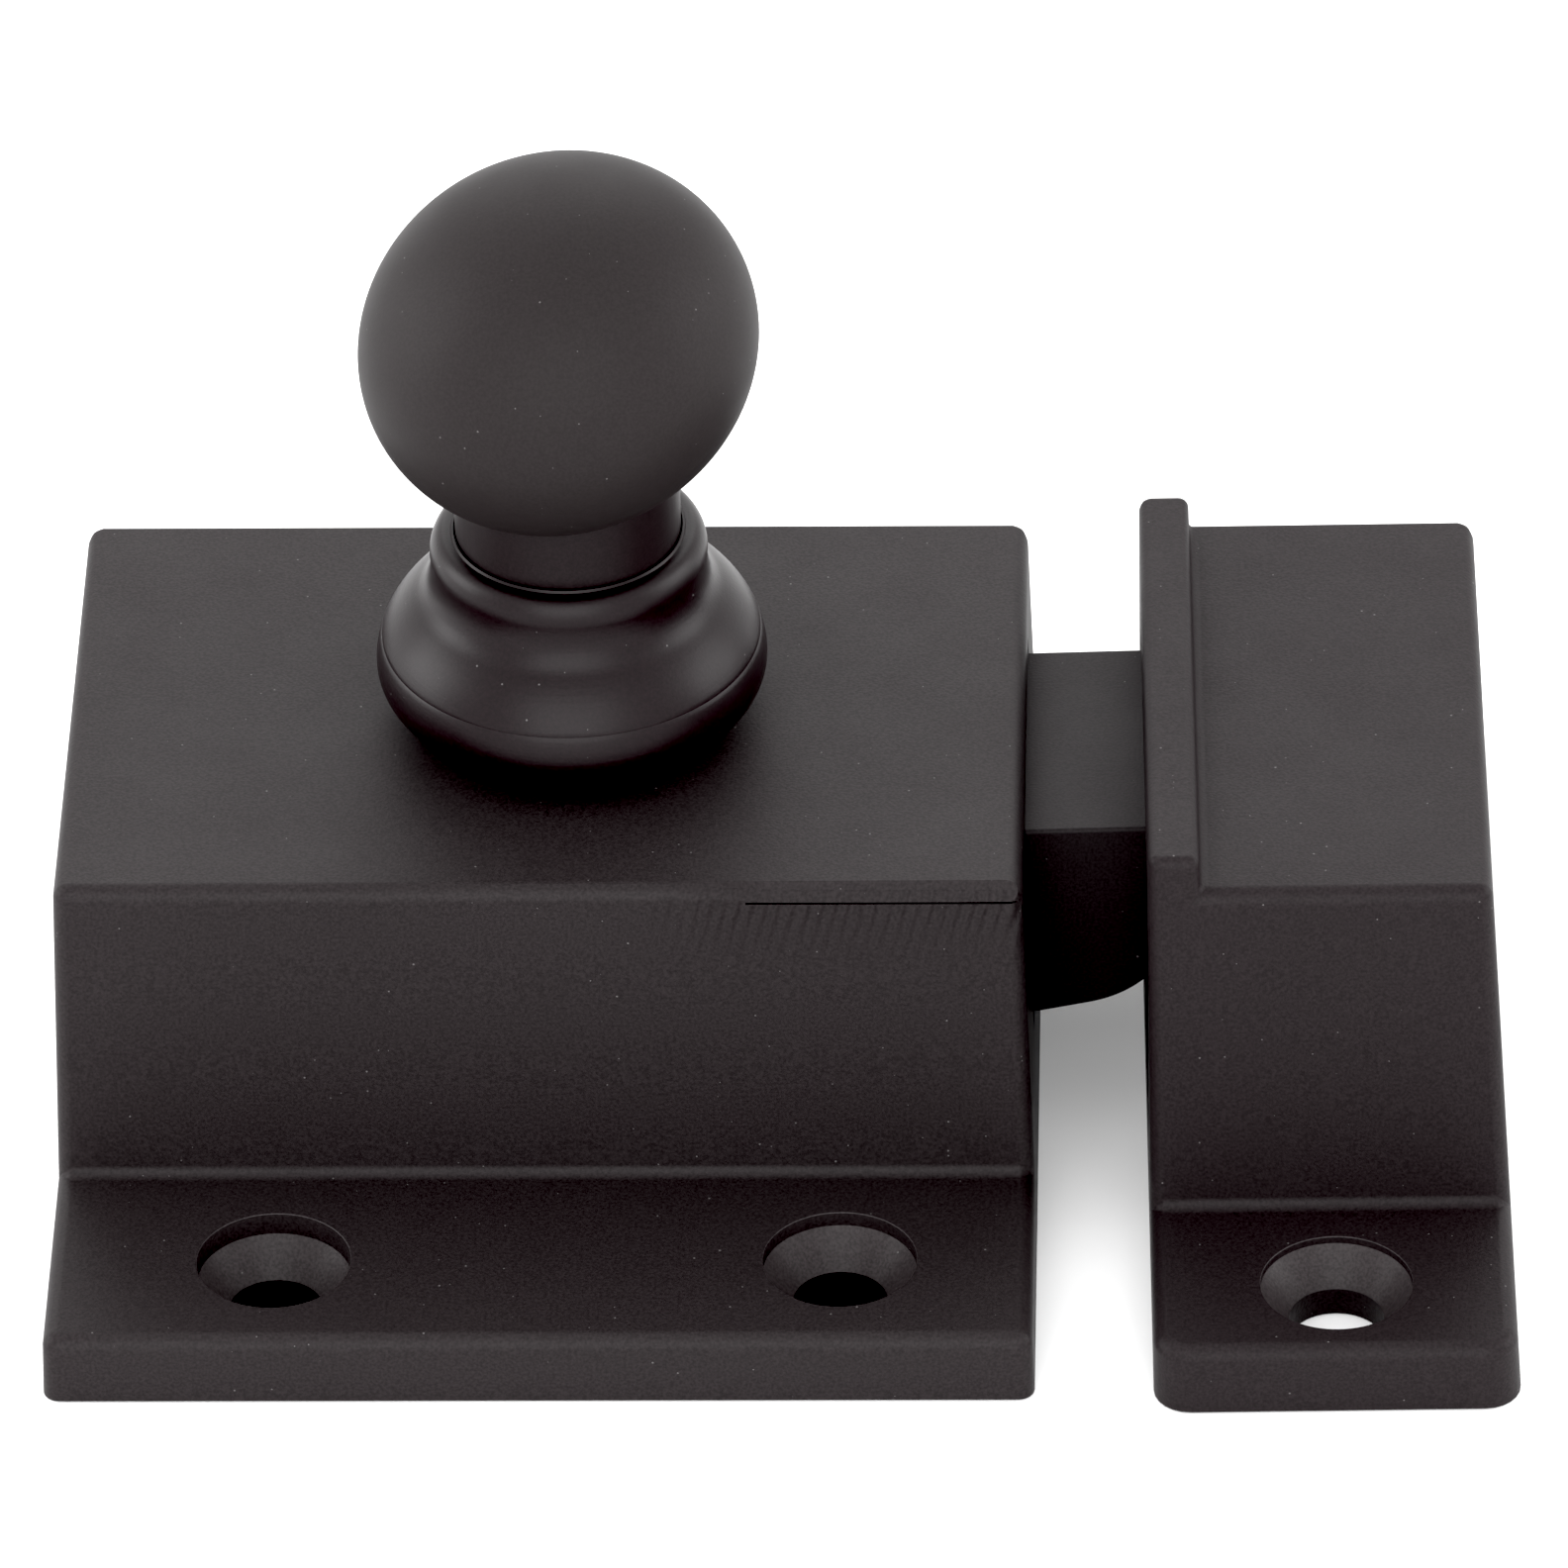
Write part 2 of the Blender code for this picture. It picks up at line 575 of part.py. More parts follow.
def make_back_plate_screws(material):
    """Small countersunk screws, each with a straight slot."""
    for number, (x, y) in enumerate(corner_places(), 1):
        profile = [
            (0, PLATE_SCREW_LENGTH),
            (PLATE_SCREW_RADIUS, PLATE_SCREW_LENGTH),
            (PLATE_SCREW_RADIUS, PLATE_THICKNESS),
            (PLATE_SCREW_HEAD, PLATE_SCREW_HEAD_EDGE),
            (PLATE_SCREW_HEAD, 0),
            (0, 0),
        ]
        screw = turned(f"back_plate_screw_{number}", profile, steps=24)
        screw.location = (x, y, 0)
        reach = PLATE_SCREW_HEAD + OVERSHOOT
        slot = cutter(box(f"screw_slot_{number}", (x - reach, y - SLOT_HALF_WIDTH, -OVERSHOOT),
                          (x + reach, y + SLOT_HALF_WIDTH, SLOT_DEPTH)))
        boolean(screw, slot)
        finish(screw, material)


def make_strike(material, parent):
    """A flanged casting, open underneath, with a lip over the mouth in its left face for the bolt."""
    outline = casting_outline(STRIKE_HALF_DEPTH, STRIKE_BODY_HALF_DEPTH, STRIKE_HEIGHT,
                              STRIKE_FRONT_DRAFT, FLANGE_END_DRAFT)
    strike = extruded("strike", outline, STRIKE_WIDTH, along_x(0))
    drafted(strike, 0, STRIKE_WIDTH, 0, STRIKE_SIDE_DRAFT)
    round_edges(strike, STRIKE_EDGE_RADIUS)

    lip_top = STRIKE_HEIGHT + LIP_HEIGHT
    lip_outline = [
        (LIP_SET_BACK, LIP_ROOT),
        (LIP_WIDTH + LIP_FILLET, LIP_ROOT),
        (LIP_WIDTH + LIP_FILLET, STRIKE_HEIGHT - FILLET_DIP),
        (LIP_WIDTH, STRIKE_HEIGHT + LIP_FILLET),
        (LIP_WIDTH, lip_top),
        (LIP_SET_BACK, lip_top),
    ]
    lip_half_depth = STRIKE_BODY_HALF_DEPTH - LIP_END_INSET
    lip = cutter(extruded("strike_lip", lip_outline, 2 * lip_half_depth, along_y(lip_half_depth)))
    round_edges(lip, LIP_EDGE_RADIUS, angle=50)

    inside_depth = STRIKE_BODY_HALF_DEPTH - STRIKE_WALL
    inside_right = STRIKE_WIDTH - STRIKE_SIDE_DRAFT * STRIKE_HEIGHT - STRIKE_WALL
    hollow = cutter(box("strike_hollow", (STRIKE_WALL, -inside_depth, -OVERSHOOT),
                        (inside_right, inside_depth, MOUTH_TOP)))
    mouth = cutter(box("strike_mouth", (-OVERSHOOT, -MOUTH_HALF_WIDTH, FLANGE_THICKNESS),
                       (STRIKE_WALL + OVERSHOOT, MOUTH_HALF_WIDTH, MOUTH_TOP)))
    holes = [head_recess("strike_screw_hole", STRIKE_HOLE_X, y, FLANGE_THICKNESS, STRIKE_HEAD_RECESS)
             for y in (-STRIKE_HOLE_Y, STRIKE_HOLE_Y)]
    boolean(strike, lip, "UNION")
    for piece in [hollow, mouth] + holes:
        boolean(strike, piece)
    for piece in [lip, hollow, mouth] + holes:
        piece.parent = parent
    return finish(strike, material, parent)


def empty(name, place=(0, 0, 0), turn=0.0):
    obj = bpy.data.objects.new(name, None)
    obj.location = place
    obj.rotation_euler = (0, 0, turn)
    PARTS.objects.link(obj)
    return obj


clear_scene()
PARTS = new_collection("Cabinet latch")
CUTTERS = new_collection("Cutters")

knob_axis = empty("knob_axis")
bolt_axis = empty("bolt_axis")
strike_place = empty("strike_place", STRIKE_PLACE, STRIKE_TURN)

make_case(make_material("case_black", BLACK, 0.0, 0.5))
make_rosette(make_material("rosette_black", BLACK, 0.0, 0.4))
make_knob(make_material("knob_black", BLACK, 0.0, 0.4), knob_axis)
make_washer("thrust_washer", THRUST_WASHER, make_material("washer_nylon", NYLON, 0.0, 0.5), knob_axis)
make_spindle(make_material("spindle_steel", STEEL, 1.0, 0.35), knob_axis)
make_cam(make_material("cam_brass", BRASS, 1.0, 0.35), knob_axis)
make_washer("cam_washer", CAM_WASHER, make_material("cam_washer_steel", STEEL, 1.0, 0.35), knob_axis)
make_washer("cam_retaining_ring", RETAINING_RING, make_material("ring_steel", STEEL, 1.0, 0.3), knob_axis)
make_bolt(make_material("bolt_black", BLACK, 0.0, 0.5), bolt_axis)
make_guide_pin(make_material("guide_pin_steel", STEEL, 1.0, 0.3), bolt_axis)
make_spring(make_material("spring_steel", STEEL, 1.0, 0.25), bolt_axis)
make_back_plate(make_material("back_plate_steel", STEEL, 1.0, 0.45))
make_back_plate_screws(make_material("screw_steel", STEEL, 1.0, 0.35))
make_strike(make_material("strike_black", BLACK, 0.0, 0.5), strike_place)
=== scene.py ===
"""Looks of the cabinet latch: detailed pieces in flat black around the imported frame, on a pale floor.

The frame is the latch at rest: +Z is up off the mounting plane, +X is the way the bolt points, and the
knob turns about the Z axis. Lengths are in metres.
"""

import math

import bmesh
import bpy
from mathutils import Matrix, Vector


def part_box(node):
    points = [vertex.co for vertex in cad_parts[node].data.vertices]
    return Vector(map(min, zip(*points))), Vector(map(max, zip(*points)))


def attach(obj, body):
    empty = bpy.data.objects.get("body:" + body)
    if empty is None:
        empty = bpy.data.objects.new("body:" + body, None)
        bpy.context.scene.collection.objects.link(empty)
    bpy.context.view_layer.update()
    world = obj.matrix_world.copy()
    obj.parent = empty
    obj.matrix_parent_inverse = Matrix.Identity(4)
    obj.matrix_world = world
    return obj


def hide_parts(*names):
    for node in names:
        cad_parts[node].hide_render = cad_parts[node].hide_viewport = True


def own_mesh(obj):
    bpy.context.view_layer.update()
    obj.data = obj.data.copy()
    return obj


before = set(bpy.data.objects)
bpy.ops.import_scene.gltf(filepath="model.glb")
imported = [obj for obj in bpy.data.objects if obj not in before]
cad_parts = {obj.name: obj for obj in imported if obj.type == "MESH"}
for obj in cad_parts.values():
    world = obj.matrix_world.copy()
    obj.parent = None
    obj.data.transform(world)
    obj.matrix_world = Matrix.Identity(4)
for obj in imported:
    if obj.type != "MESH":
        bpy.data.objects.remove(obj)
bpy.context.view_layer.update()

MM = 0.001
OVERSHOOT = 1.0 * MM  # how far a cutter runs past the face it opens
MERGE_DISTANCE = 0.005 * MM
SHARP_ANGLE = math.radians(35)

# Case
CASE_LOW, CASE_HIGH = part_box("latch_case")
CASE_HEIGHT = CASE_HIGH.z
FLANGE_THICKNESS = 2.69 * MM
WALL_HALF_DEPTH = 11.50 * MM  # of the case's raised body, at the top
SIDE_DRAFT = 0.027
FRONT_DRAFT = 0.029
FLANGE_END_DRAFT = 0.04
CASE_WALL = 1.60 * MM
CEILING = CASE_HEIGHT - 1.20 * MM
EDGE_RADIUS = 0.55 * MM
REAR_EDGE_RADIUS = 0.20 * MM
CASE_CORNER_RADIUS = 0.60 * MM
REAR_CORNER_RADIUS = 1.60 * MM
FOOT_FILLET = 0.40 * MM
BOTTOM_RADIUS = 0.08 * MM
LARGEST_RADIUS = 2.0 * MM  # that round_edges can give
ROUNDING_STEPS = 6
ROSETTE_SEAT_RADIUS = 4.2 * MM  # of the hole in the case's top
PLATE_MARGIN = 0.12 * MM  # round the back plate
PLATE_HEADROOM = 0.3 * MM
FILED_FROM = 4.0 * MM  # where the filed flat along the front top edge starts
FILED_FULL = 7.5 * MM  # where it reaches its width
FILED_DEPTH = 0.17 * MM  # below the rounded edge, at the right end
FILED_SHARE = 0.9  # of that depth, where the flat reaches its width
SCORE_DEPTH = 0.16 * MM  # of the line that the file's edge left under the flat
SCORE_HEIGHT = 0.09 * MM
SCORE_LEAD = 1.0 * MM  # by which it starts before the flat has its width

# Screw holes
CASE_HOLE_XS = (-10.57 * MM, 9.77 * MM)
CASE_HOLE_Y = 16.99 * MM
CASE_HEAD_RADIUS = 2.77 * MM
CASE_RECESSES = (0.90 * MM, 0.58 * MM)  # above the cone, at the left and right holes
STRIKE_HEAD_RADIUS = 2.72 * MM
STRIKE_RECESS = 0.30 * MM
SHANK_RADIUS = 1.70 * MM
CONE_DEPTH = 1.30 * MM
RIM_RADIUS = 0.05 * MM
CONE_RINGS = 9
RING_DEPTH = 0.012 * MM

# Bolt
BOLT_Y = 0.42 * MM
BOLT_HALF_WIDTH = 5.65 * MM
BOLT_EDGE_RADIUS = 0.15 * MM
BOLT_GAP = 0.25 * MM  # in the case's window
BLOCK_LEFT = 14.40 * MM
BAR_UNDERSIDE = 9.40 * MM
BOLT_TOP = 13.05 * MM
NOSE_START = 15.0 * MM  # where the underside begins to rise
NOSE_STRAIGHT = 3.70 * MM
NOSE_SLOPE = math.radians(12.1)
NOSE_RADIUS = 4.20 * MM
RAMP_SLOPE = math.radians(40)
RAMP_TOP = 9.60 * MM
LUG_RIGHT = -2.8 * MM
LUG_FOOT = 5.2 * MM
SLOT_HALF_WIDTH = 2.5 * MM
SLOT_RIGHT = 8.3 * MM

# Rosette: radii, and heights above the case's top
ROSETTE_BORE = 4.11 * MM
COUNTERBORE_TOP = 6.3 * MM
RIM_HEIGHT = 7.94 * MM
RIM_SHAPE = [  # out from the bore, and up from the rim's height
    (0, -0.04 * MM),
    (0.03 * MM, 0),
    (0.09 * MM, 0),
    (0.14 * MM, -0.09 * MM),
]
BEAD_RADIUS, BEAD_HEIGHT = 4.40 * MM, 6.95 * MM
BEAD_HALF_WIDTH, BEAD_RISE = 0.62 * MM, 0.90 * MM
COVE_RADIUS, COVE_HEIGHT = 4.94 * MM, 5.66 * MM
BELL_HEIGHT = 2.3 * MM  # of its widest part
BELL_REACH, BELL_RISE = 8.69 * MM, 5.0 * MM  # of the ellipse that it follows
BELL_TOP_ANGLE = 34
TURNED_LINE_DEPTH = 0.02 * MM
TURNED_LINE_ANGLE = 12.4  # degrees up the bell from its widest part
TURNED_LINE_HALF_ANGLE = 0.6
UNDERCUT_REACH, UNDERCUT_DROP = 1.35 * MM, 1.5 * MM
FOOT_RADIUS = 5.9 * MM
FOOT_HEIGHT = 0.6 * MM
TENON_RADIUS = 4.0 * MM
SHANK_BORE = 3.3 * MM

# Ball, a flattened one that leans on its neck
BALL_HALF_WIDTH = 7.29 * MM
BALL_HALF_HEIGHT = 6.56 * MM
BALL_CENTRE = Vector((-0.13 * MM, 0, 30.90 * MM))
BALL_LEAN = math.radians(27)
NECK_RADIUS = 4.08 * MM
NECK_STEP = CASE_HEIGHT + 6.5 * MM  # down to the shank that turns in the rosette
KNOB_SHANK_RADIUS = 3.0 * MM
KNOB_BORE_RADIUS = 1.9 * MM
KNOB_BORE_TOP = 22.0 * MM
KNOB_BORE_POINT = 0.8 * MM

# Strike
STRIKE_PLACE = Matrix.Translation((20.67 * MM, -1.69 * MM, 0)) @ Matrix.Rotation(math.radians(1.05), 4, "Z")
STRIKE_WIDTH = 13.12 * MM
STRIKE_HALF_DEPTH = 20.93 * MM
STRIKE_BODY_HALF_DEPTH = 11.60 * MM
STRIKE_HEIGHT = 16.08 * MM
STRIKE_DRAFT = 0.052
STRIKE_CORNER_RADIUS = 1.30 * MM
LIP_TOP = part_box("strike")[1].z
LIP_WIDTH = 1.85 * MM
LIP_RADIUS = 0.38 * MM
STRIKE_HOLE = Vector((6.60 * MM, 16.87 * MM))
STRIKE_WALL = 1.80 * MM
MOUTH_HALF_WIDTH = 8.40 * MM
MOUTH_TOP = 13.90 * MM

# Back plate screws
SCREW_SHANK_RADIUS = 0.80 * MM
SCREW_BRIM = 0.10 * MM
SCREW_GAP = 0.12 * MM  # in the plate's holes
PLATE_EDGE_RADIUS = 0.12 * MM
THREAD_RIDGE = 0.10 * MM
THREAD_PITCH = 0.45 * MM
SLOT_HALF, SLOT_DEPTH = 0.25 * MM, 0.35 * MM

# Spring
WIRE_RADIUS = 0.25 * MM
SPRING_TURNS = 8
SPRING_STEPS = 32  # to a turn
WIRE_SIDES = 12


# ---------------------------------------------------------------- mesh helpers

def new_object(name, mesh):
    obj = bpy.data.objects.new(name, mesh)
    bpy.context.scene.collection.objects.link(obj)
    return obj


def from_bmesh(name, bm):
    mesh = bpy.data.meshes.new(name)
    bm.to_mesh(mesh)
    bm.free()
    return new_object(name, mesh)


def apply_modifiers(obj):
    """Makes the modified shape the object's own mesh."""
    graph = bpy.context.evaluated_depsgraph_get()
    mesh = bpy.data.meshes.new_from_object(obj.evaluated_get(graph))
    obj.modifiers.clear()
    obj.data = mesh
    return obj


def prism(name, outline, axis, start, end):
    """A flat outline made solid along X, where it is (y, z), or along Y, where it is (x, z)."""
    bm = bmesh.new()
    if axis == "X":
        points = [(start, u, v) for u, v in outline]
        reach = Vector((end - start, 0, 0))
    else:
        points = [(u, start, v) for u, v in outline]
        reach = Vector((0, end - start, 0))
    face = bm.faces.new([bm.verts.new(point) for point in points])
    swept = bmesh.ops.extrude_face_region(bm, geom=[face])
    moved = [v for v in swept["geom"] if isinstance(v, bmesh.types.BMVert)]
    bmesh.ops.translate(bm, vec=reach, verts=moved)
    bmesh.ops.recalc_face_normals(bm, faces=bm.faces)
    return from_bmesh(name, bm)


def box(name, low, high):
    low, high = Vector(low), Vector(high)
    bm = bmesh.new()
    place = Matrix.Translation((low + high) / 2) @ Matrix.Diagonal((*(high - low), 1))
    bmesh.ops.create_cube(bm, size=1, matrix=place)
    return from_bmesh(name, bm)


def turned(name, profile, steps, closed=False):
    """A profile of (radius, height) points turned about Z, running down its outer side."""
    edges = [(i, i + 1) for i in range(len(profile) - 1)]
    if closed:
        edges.append((len(profile) - 1, 0))
    mesh = bpy.data.meshes.new(name)
    mesh.from_pydata([(radius, 0, height) for radius, height in profile], edges, [])
    obj = new_object(name, mesh)
    screw = obj.modifiers.new("Turn", "SCREW")
    screw.steps = steps
    screw.render_steps = steps
    screw.use_merge_vertices = True
    screw.merge_threshold = MERGE_DISTANCE
    return apply_modifiers(obj)


def arc(centre, radius_x, radius_z, start, end, count):
    """Points of an ellipse's arc between two angles in degrees, ends included."""
    angles = [math.radians(start + (end - start) * i / count) for i in range(count + 1)]
    return [(centre[0] + radius_x * math.cos(a), centre[1] + radius_z * math.sin(a)) for a in angles]


def bend(start, corner, end, count):
    """Points of a curve that leaves start towards corner and reaches end from it, ends left out."""
    shares = [(i + 1) / (count + 1) for i in range(count)]
    return [tuple((1 - t) ** 2 * a + 2 * t * (1 - t) * b + t * t * c for a, b, c in zip(start, corner, end))
            for t in shares]


def combine(obj, others, operation="DIFFERENCE"):
    """Cuts or joins the others, which are used up."""
    for other in others:
        modifier = obj.modifiers.new(other.name, "BOOLEAN")
        modifier.operation = operation
        modifier.solver = "EXACT"
        modifier.object = other
    apply_modifiers(obj)
    for other in others:
        bpy.data.objects.remove(other, do_unlink=True)
    return obj


def clean_faces(obj):
    """Joins the flat faces and straight edges that a Boolean leaves split."""
    bm = bmesh.new()
    bm.from_mesh(obj.data)
    bmesh.ops.remove_doubles(bm, verts=bm.verts, dist=MERGE_DISTANCE)
    bmesh.ops.dissolve_limit(bm, angle_limit=math.radians(0.5), verts=bm.verts, edges=bm.edges)
    bm.to_mesh(obj.data)
    bm.free()
    return obj


def round_edges(obj, radius_of, steps=ROUNDING_STEPS):
    """Rounds each edge to the radius that radius_of(middle, direction) gives for it."""
    mesh = obj.data
    name = "bevel_weight_edge"
    weights = mesh.attributes.get(name) or mesh.attributes.new(name, "FLOAT", "EDGE")
    for edge in mesh.edges:
        a, b = (mesh.vertices[i].co for i in edge.vertices)
        weights.data[edge.index].value = radius_of((a + b) / 2, (b - a).normalized()) / LARGEST_RADIUS
    bevel = obj.modifiers.new("Rounding", "BEVEL")
    bevel.width = LARGEST_RADIUS
    bevel.segments = steps
    bevel.limit_method = "WEIGHT"
    bevel.use_clamp_overlap = False
    apply_modifiers(obj)


def smooth(obj):
    obj.data.shade_smooth()
    obj.data.set_sharp_from_angle(angle=SHARP_ANGLE)
    normals = obj.modifiers.new("Flat faces stay flat", "WEIGHTED_NORMAL")
    normals.keep_sharp = True
    normals.weight = 100
    return obj


def piece(obj, body, node, material):
    """Hands a finished piece to the frame: what it rides on, what it stands for, and its finish."""
    obj.data.materials.clear()
    obj.data.materials.append(material)
    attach(obj, body)
    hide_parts(node)
    return obj


# ---------------------------------------------------------------- castings

def hat_outline(half_depth, body_half_depth, height, draft):
    """The section of a flanged casting, as (y, z)."""
    foot = body_half_depth + draft * (height - FLANGE_THICKNESS)
    edge = half_depth - FLANGE_END_DRAFT * FLANGE_THICKNESS
    right = [(half_depth, 0), (edge, FLANGE_THICKNESS), (foot, FLANGE_THICKNESS), (body_half_depth, height)]
    return right + [(-y, z) for y, z in reversed(right)]


def casting(name, side_outline, hat, reach):
    """Where the outline seen from the front, as (x, z), and the hat-shaped section meet."""
    low_x = min(x for x, z in side_outline) - OVERSHOOT
    high_x = max(x for x, z in side_outline) + OVERSHOOT
    cast = prism(name, side_outline, "Y", -reach, reach)
    return clean_faces(combine(cast, [prism("section", hat, "X", low_x, high_x)], "INTERSECT"))


def is_flange_corner(middle, direction, foot):
    """Whether an edge is one of the upright corners of a flange, which starts at foot."""
    return abs(direction.z) > 0.9 and abs(middle.y) > foot + OVERSHOOT


def screw_hole(x, y, head_radius, recess):
    """A cutter for a flat-head screw's hole, with the rings that the countersinking tool left."""
    top = FLANGE_THICKNESS
    cone_top = top - recess
    cone = []
    for i in range(CONE_RINGS + 1):
        share = i / CONE_RINGS
        radius = head_radius + (SHANK_RADIUS - head_radius) * share
        inner = 0 < i < CONE_RINGS
        step = (RING_DEPTH if i % 2 else -RING_DEPTH) if inner else 0
        cone.append((radius + step, cone_top - CONE_DEPTH * share))
    rim = arc((head_radius + RIM_RADIUS, top - RIM_RADIUS), RIM_RADIUS, RIM_RADIUS, 105, 180, 4)
    profile = (
        [(0, top + OVERSHOOT), (head_radius + RIM_RADIUS * 1.5, top + OVERSHOOT)]
        + rim + cone
        + [(SHANK_RADIUS, -OVERSHOOT), (0, -OVERSHOOT)]
    )
    hole = turned("screw_hole", profile, 96)
    hole.location = (x, y, 0)
    return hole


def paint_cone_light(obj, places, head_radius, material):
    """Gives the sloping faces inside the screw holes a lighter copy of the lacquer, as painted light for the
    light their slopes catch.
    """
    obj.data.materials.append(material)
    reach = head_radius + RIM_RADIUS / 2
    for face in obj.data.polygons:
        sloping = 0.3 < face.normal.z < 0.9 and face.center.z < FLANGE_THICKNESS
        if sloping and any(math.dist(face.center[:2], place) < reach for place in places):
            face.material_index = 1


def filed_flat():
    """A cutter for the flat filed along the case's front top edge, deeper towards the right end."""
    out = Vector((0, -1, 1)).normalized()
    across = Vector((0, 1, 1)).normalized()
    rounding = (math.sqrt(2) - 1) * EDGE_RADIUS
    reach = 2 * MM
    bm = bmesh.new()
    stations = [
        (FILED_FROM, 0),
        (FILED_FULL, FILED_DEPTH * FILED_SHARE),
        (CASE_HIGH.x + OVERSHOOT, FILED_DEPTH),
    ]
    for x, depth in stations:
        corner = Vector((x, -WALL_HALF_DEPTH, CASE_HEIGHT)) - out * (rounding + depth)
        for side in (-1, 1):
            bm.verts.new(corner + across * side * reach)
            bm.verts.new(corner + across * side * reach + out * reach)
    bmesh.ops.convex_hull(bm, input=bm.verts)
    bmesh.ops.recalc_face_normals(bm, faces=bm.faces)
    return from_bmesh("filed_flat", bm)


def score_line():
    """A cutter for the thin line that the file's edge left along the lower side of the flat."""
    low = CASE_HEIGHT - math.sqrt(2) * ((math.sqrt(2) - 1) * EDGE_RADIUS + FILED_DEPTH)
    outline = [
        (-WALL_HALF_DEPTH + SCORE_DEPTH, low),
        (-WALL_HALF_DEPTH - OVERSHOOT, low),
        (-WALL_HALF_DEPTH - OVERSHOOT, low - SCORE_HEIGHT),
        (-WALL_HALF_DEPTH + SCORE_DEPTH, low - SCORE_HEIGHT),
    ]
    return prism("score_line", outline, "X", FILED_FULL - SCORE_LEAD, CASE_HIGH.x + OVERSHOOT)


def make_case(material, cone_lit_material):
    lean = SIDE_DRAFT * CASE_HEIGHT
    side = [
        (CASE_LOW.x, 0),
        (CASE_HIGH.x, 0),
        (CASE_HIGH.x - lean, CASE_HEIGHT),
        (CASE_LOW.x + lean, CASE_HEIGHT),
    ]
    hat = hat_outline(CASE_HIGH.y, WALL_HALF_DEPTH, CASE_HEIGHT, FRONT_DRAFT)
    cast = casting("case_casting", side, hat, CASE_HIGH.y + OVERSHOOT)
    foot = WALL_HALF_DEPTH + FRONT_DRAFT * (CASE_HEIGHT - FLANGE_THICKNESS)

    def corner_radius(middle, direction):
        if is_flange_corner(middle, direction, foot):
            return REAR_CORNER_RADIUS if middle.y > 0 else CASE_CORNER_RADIUS
        return 0

    def radius_of(middle, direction):
        if middle.z < MERGE_DISTANCE:
            return BOTTOM_RADIUS
        if abs(abs(middle.y) - foot) < MERGE_DISTANCE and abs(direction.x) > 0.9:
            return FOOT_FILLET
        if is_flange_corner(middle, direction, foot):
            return 0  # rounded already
        if middle.y > WALL_HALF_DEPTH - OVERSHOOT and middle.z > CASE_HEIGHT - MERGE_DISTANCE:
            return REAR_EDGE_RADIUS
        return EDGE_RADIUS

    round_edges(cast, corner_radius)  # by themselves, as edges of unlike radii don't meet cleanly
    round_edges(cast, radius_of)
    inside_left = CASE_LOW.x + lean + CASE_WALL
    inside_right = CASE_HIGH.x - lean - CASE_WALL
    inside_depth = WALL_HALF_DEPTH - CASE_WALL
    plate_low, plate_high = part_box("back_plate")
    margin = Vector((PLATE_MARGIN, PLATE_MARGIN, 0))
    hollow = box("hollow", (inside_left, -inside_depth, -OVERSHOOT), (inside_right, inside_depth, CEILING))
    recess = box("recess", plate_low - margin - Vector((0, 0, OVERSHOOT)),
                 plate_high + margin + Vector((0, 0, PLATE_HEADROOM)))
    bolt_low, bolt_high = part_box("latch_bolt")
    half = BOLT_HALF_WIDTH + BOLT_GAP
    window = box("window", (inside_right - OVERSHOOT, BOLT_Y - half, bolt_low.z - BOLT_GAP),
                 (CASE_HIGH.x + OVERSHOOT, BOLT_Y + half, bolt_high.z + BOLT_GAP))
    seat_top, seat_foot = CASE_HEIGHT + OVERSHOOT, CEILING - OVERSHOOT
    seat = turned("seat", [(0, seat_top), (ROSETTE_SEAT_RADIUS, seat_top),
                           (ROSETTE_SEAT_RADIUS, seat_foot), (0, seat_foot)], 64)
    places = [(x, y) for x in CASE_HOLE_XS for y in (-CASE_HOLE_Y, CASE_HOLE_Y)]
    recesses = dict(zip(CASE_HOLE_XS, CASE_RECESSES))
    holes = [screw_hole(x, y, CASE_HEAD_RADIUS, recesses[x]) for x, y in places]
    combine(cast, [filed_flat(), score_line(), hollow, recess, window, seat] + holes)
    piece(smooth(cast), "case", "latch_case", material)
    paint_cone_light(cast, places, CASE_HEAD_RADIUS, cone_lit_material)


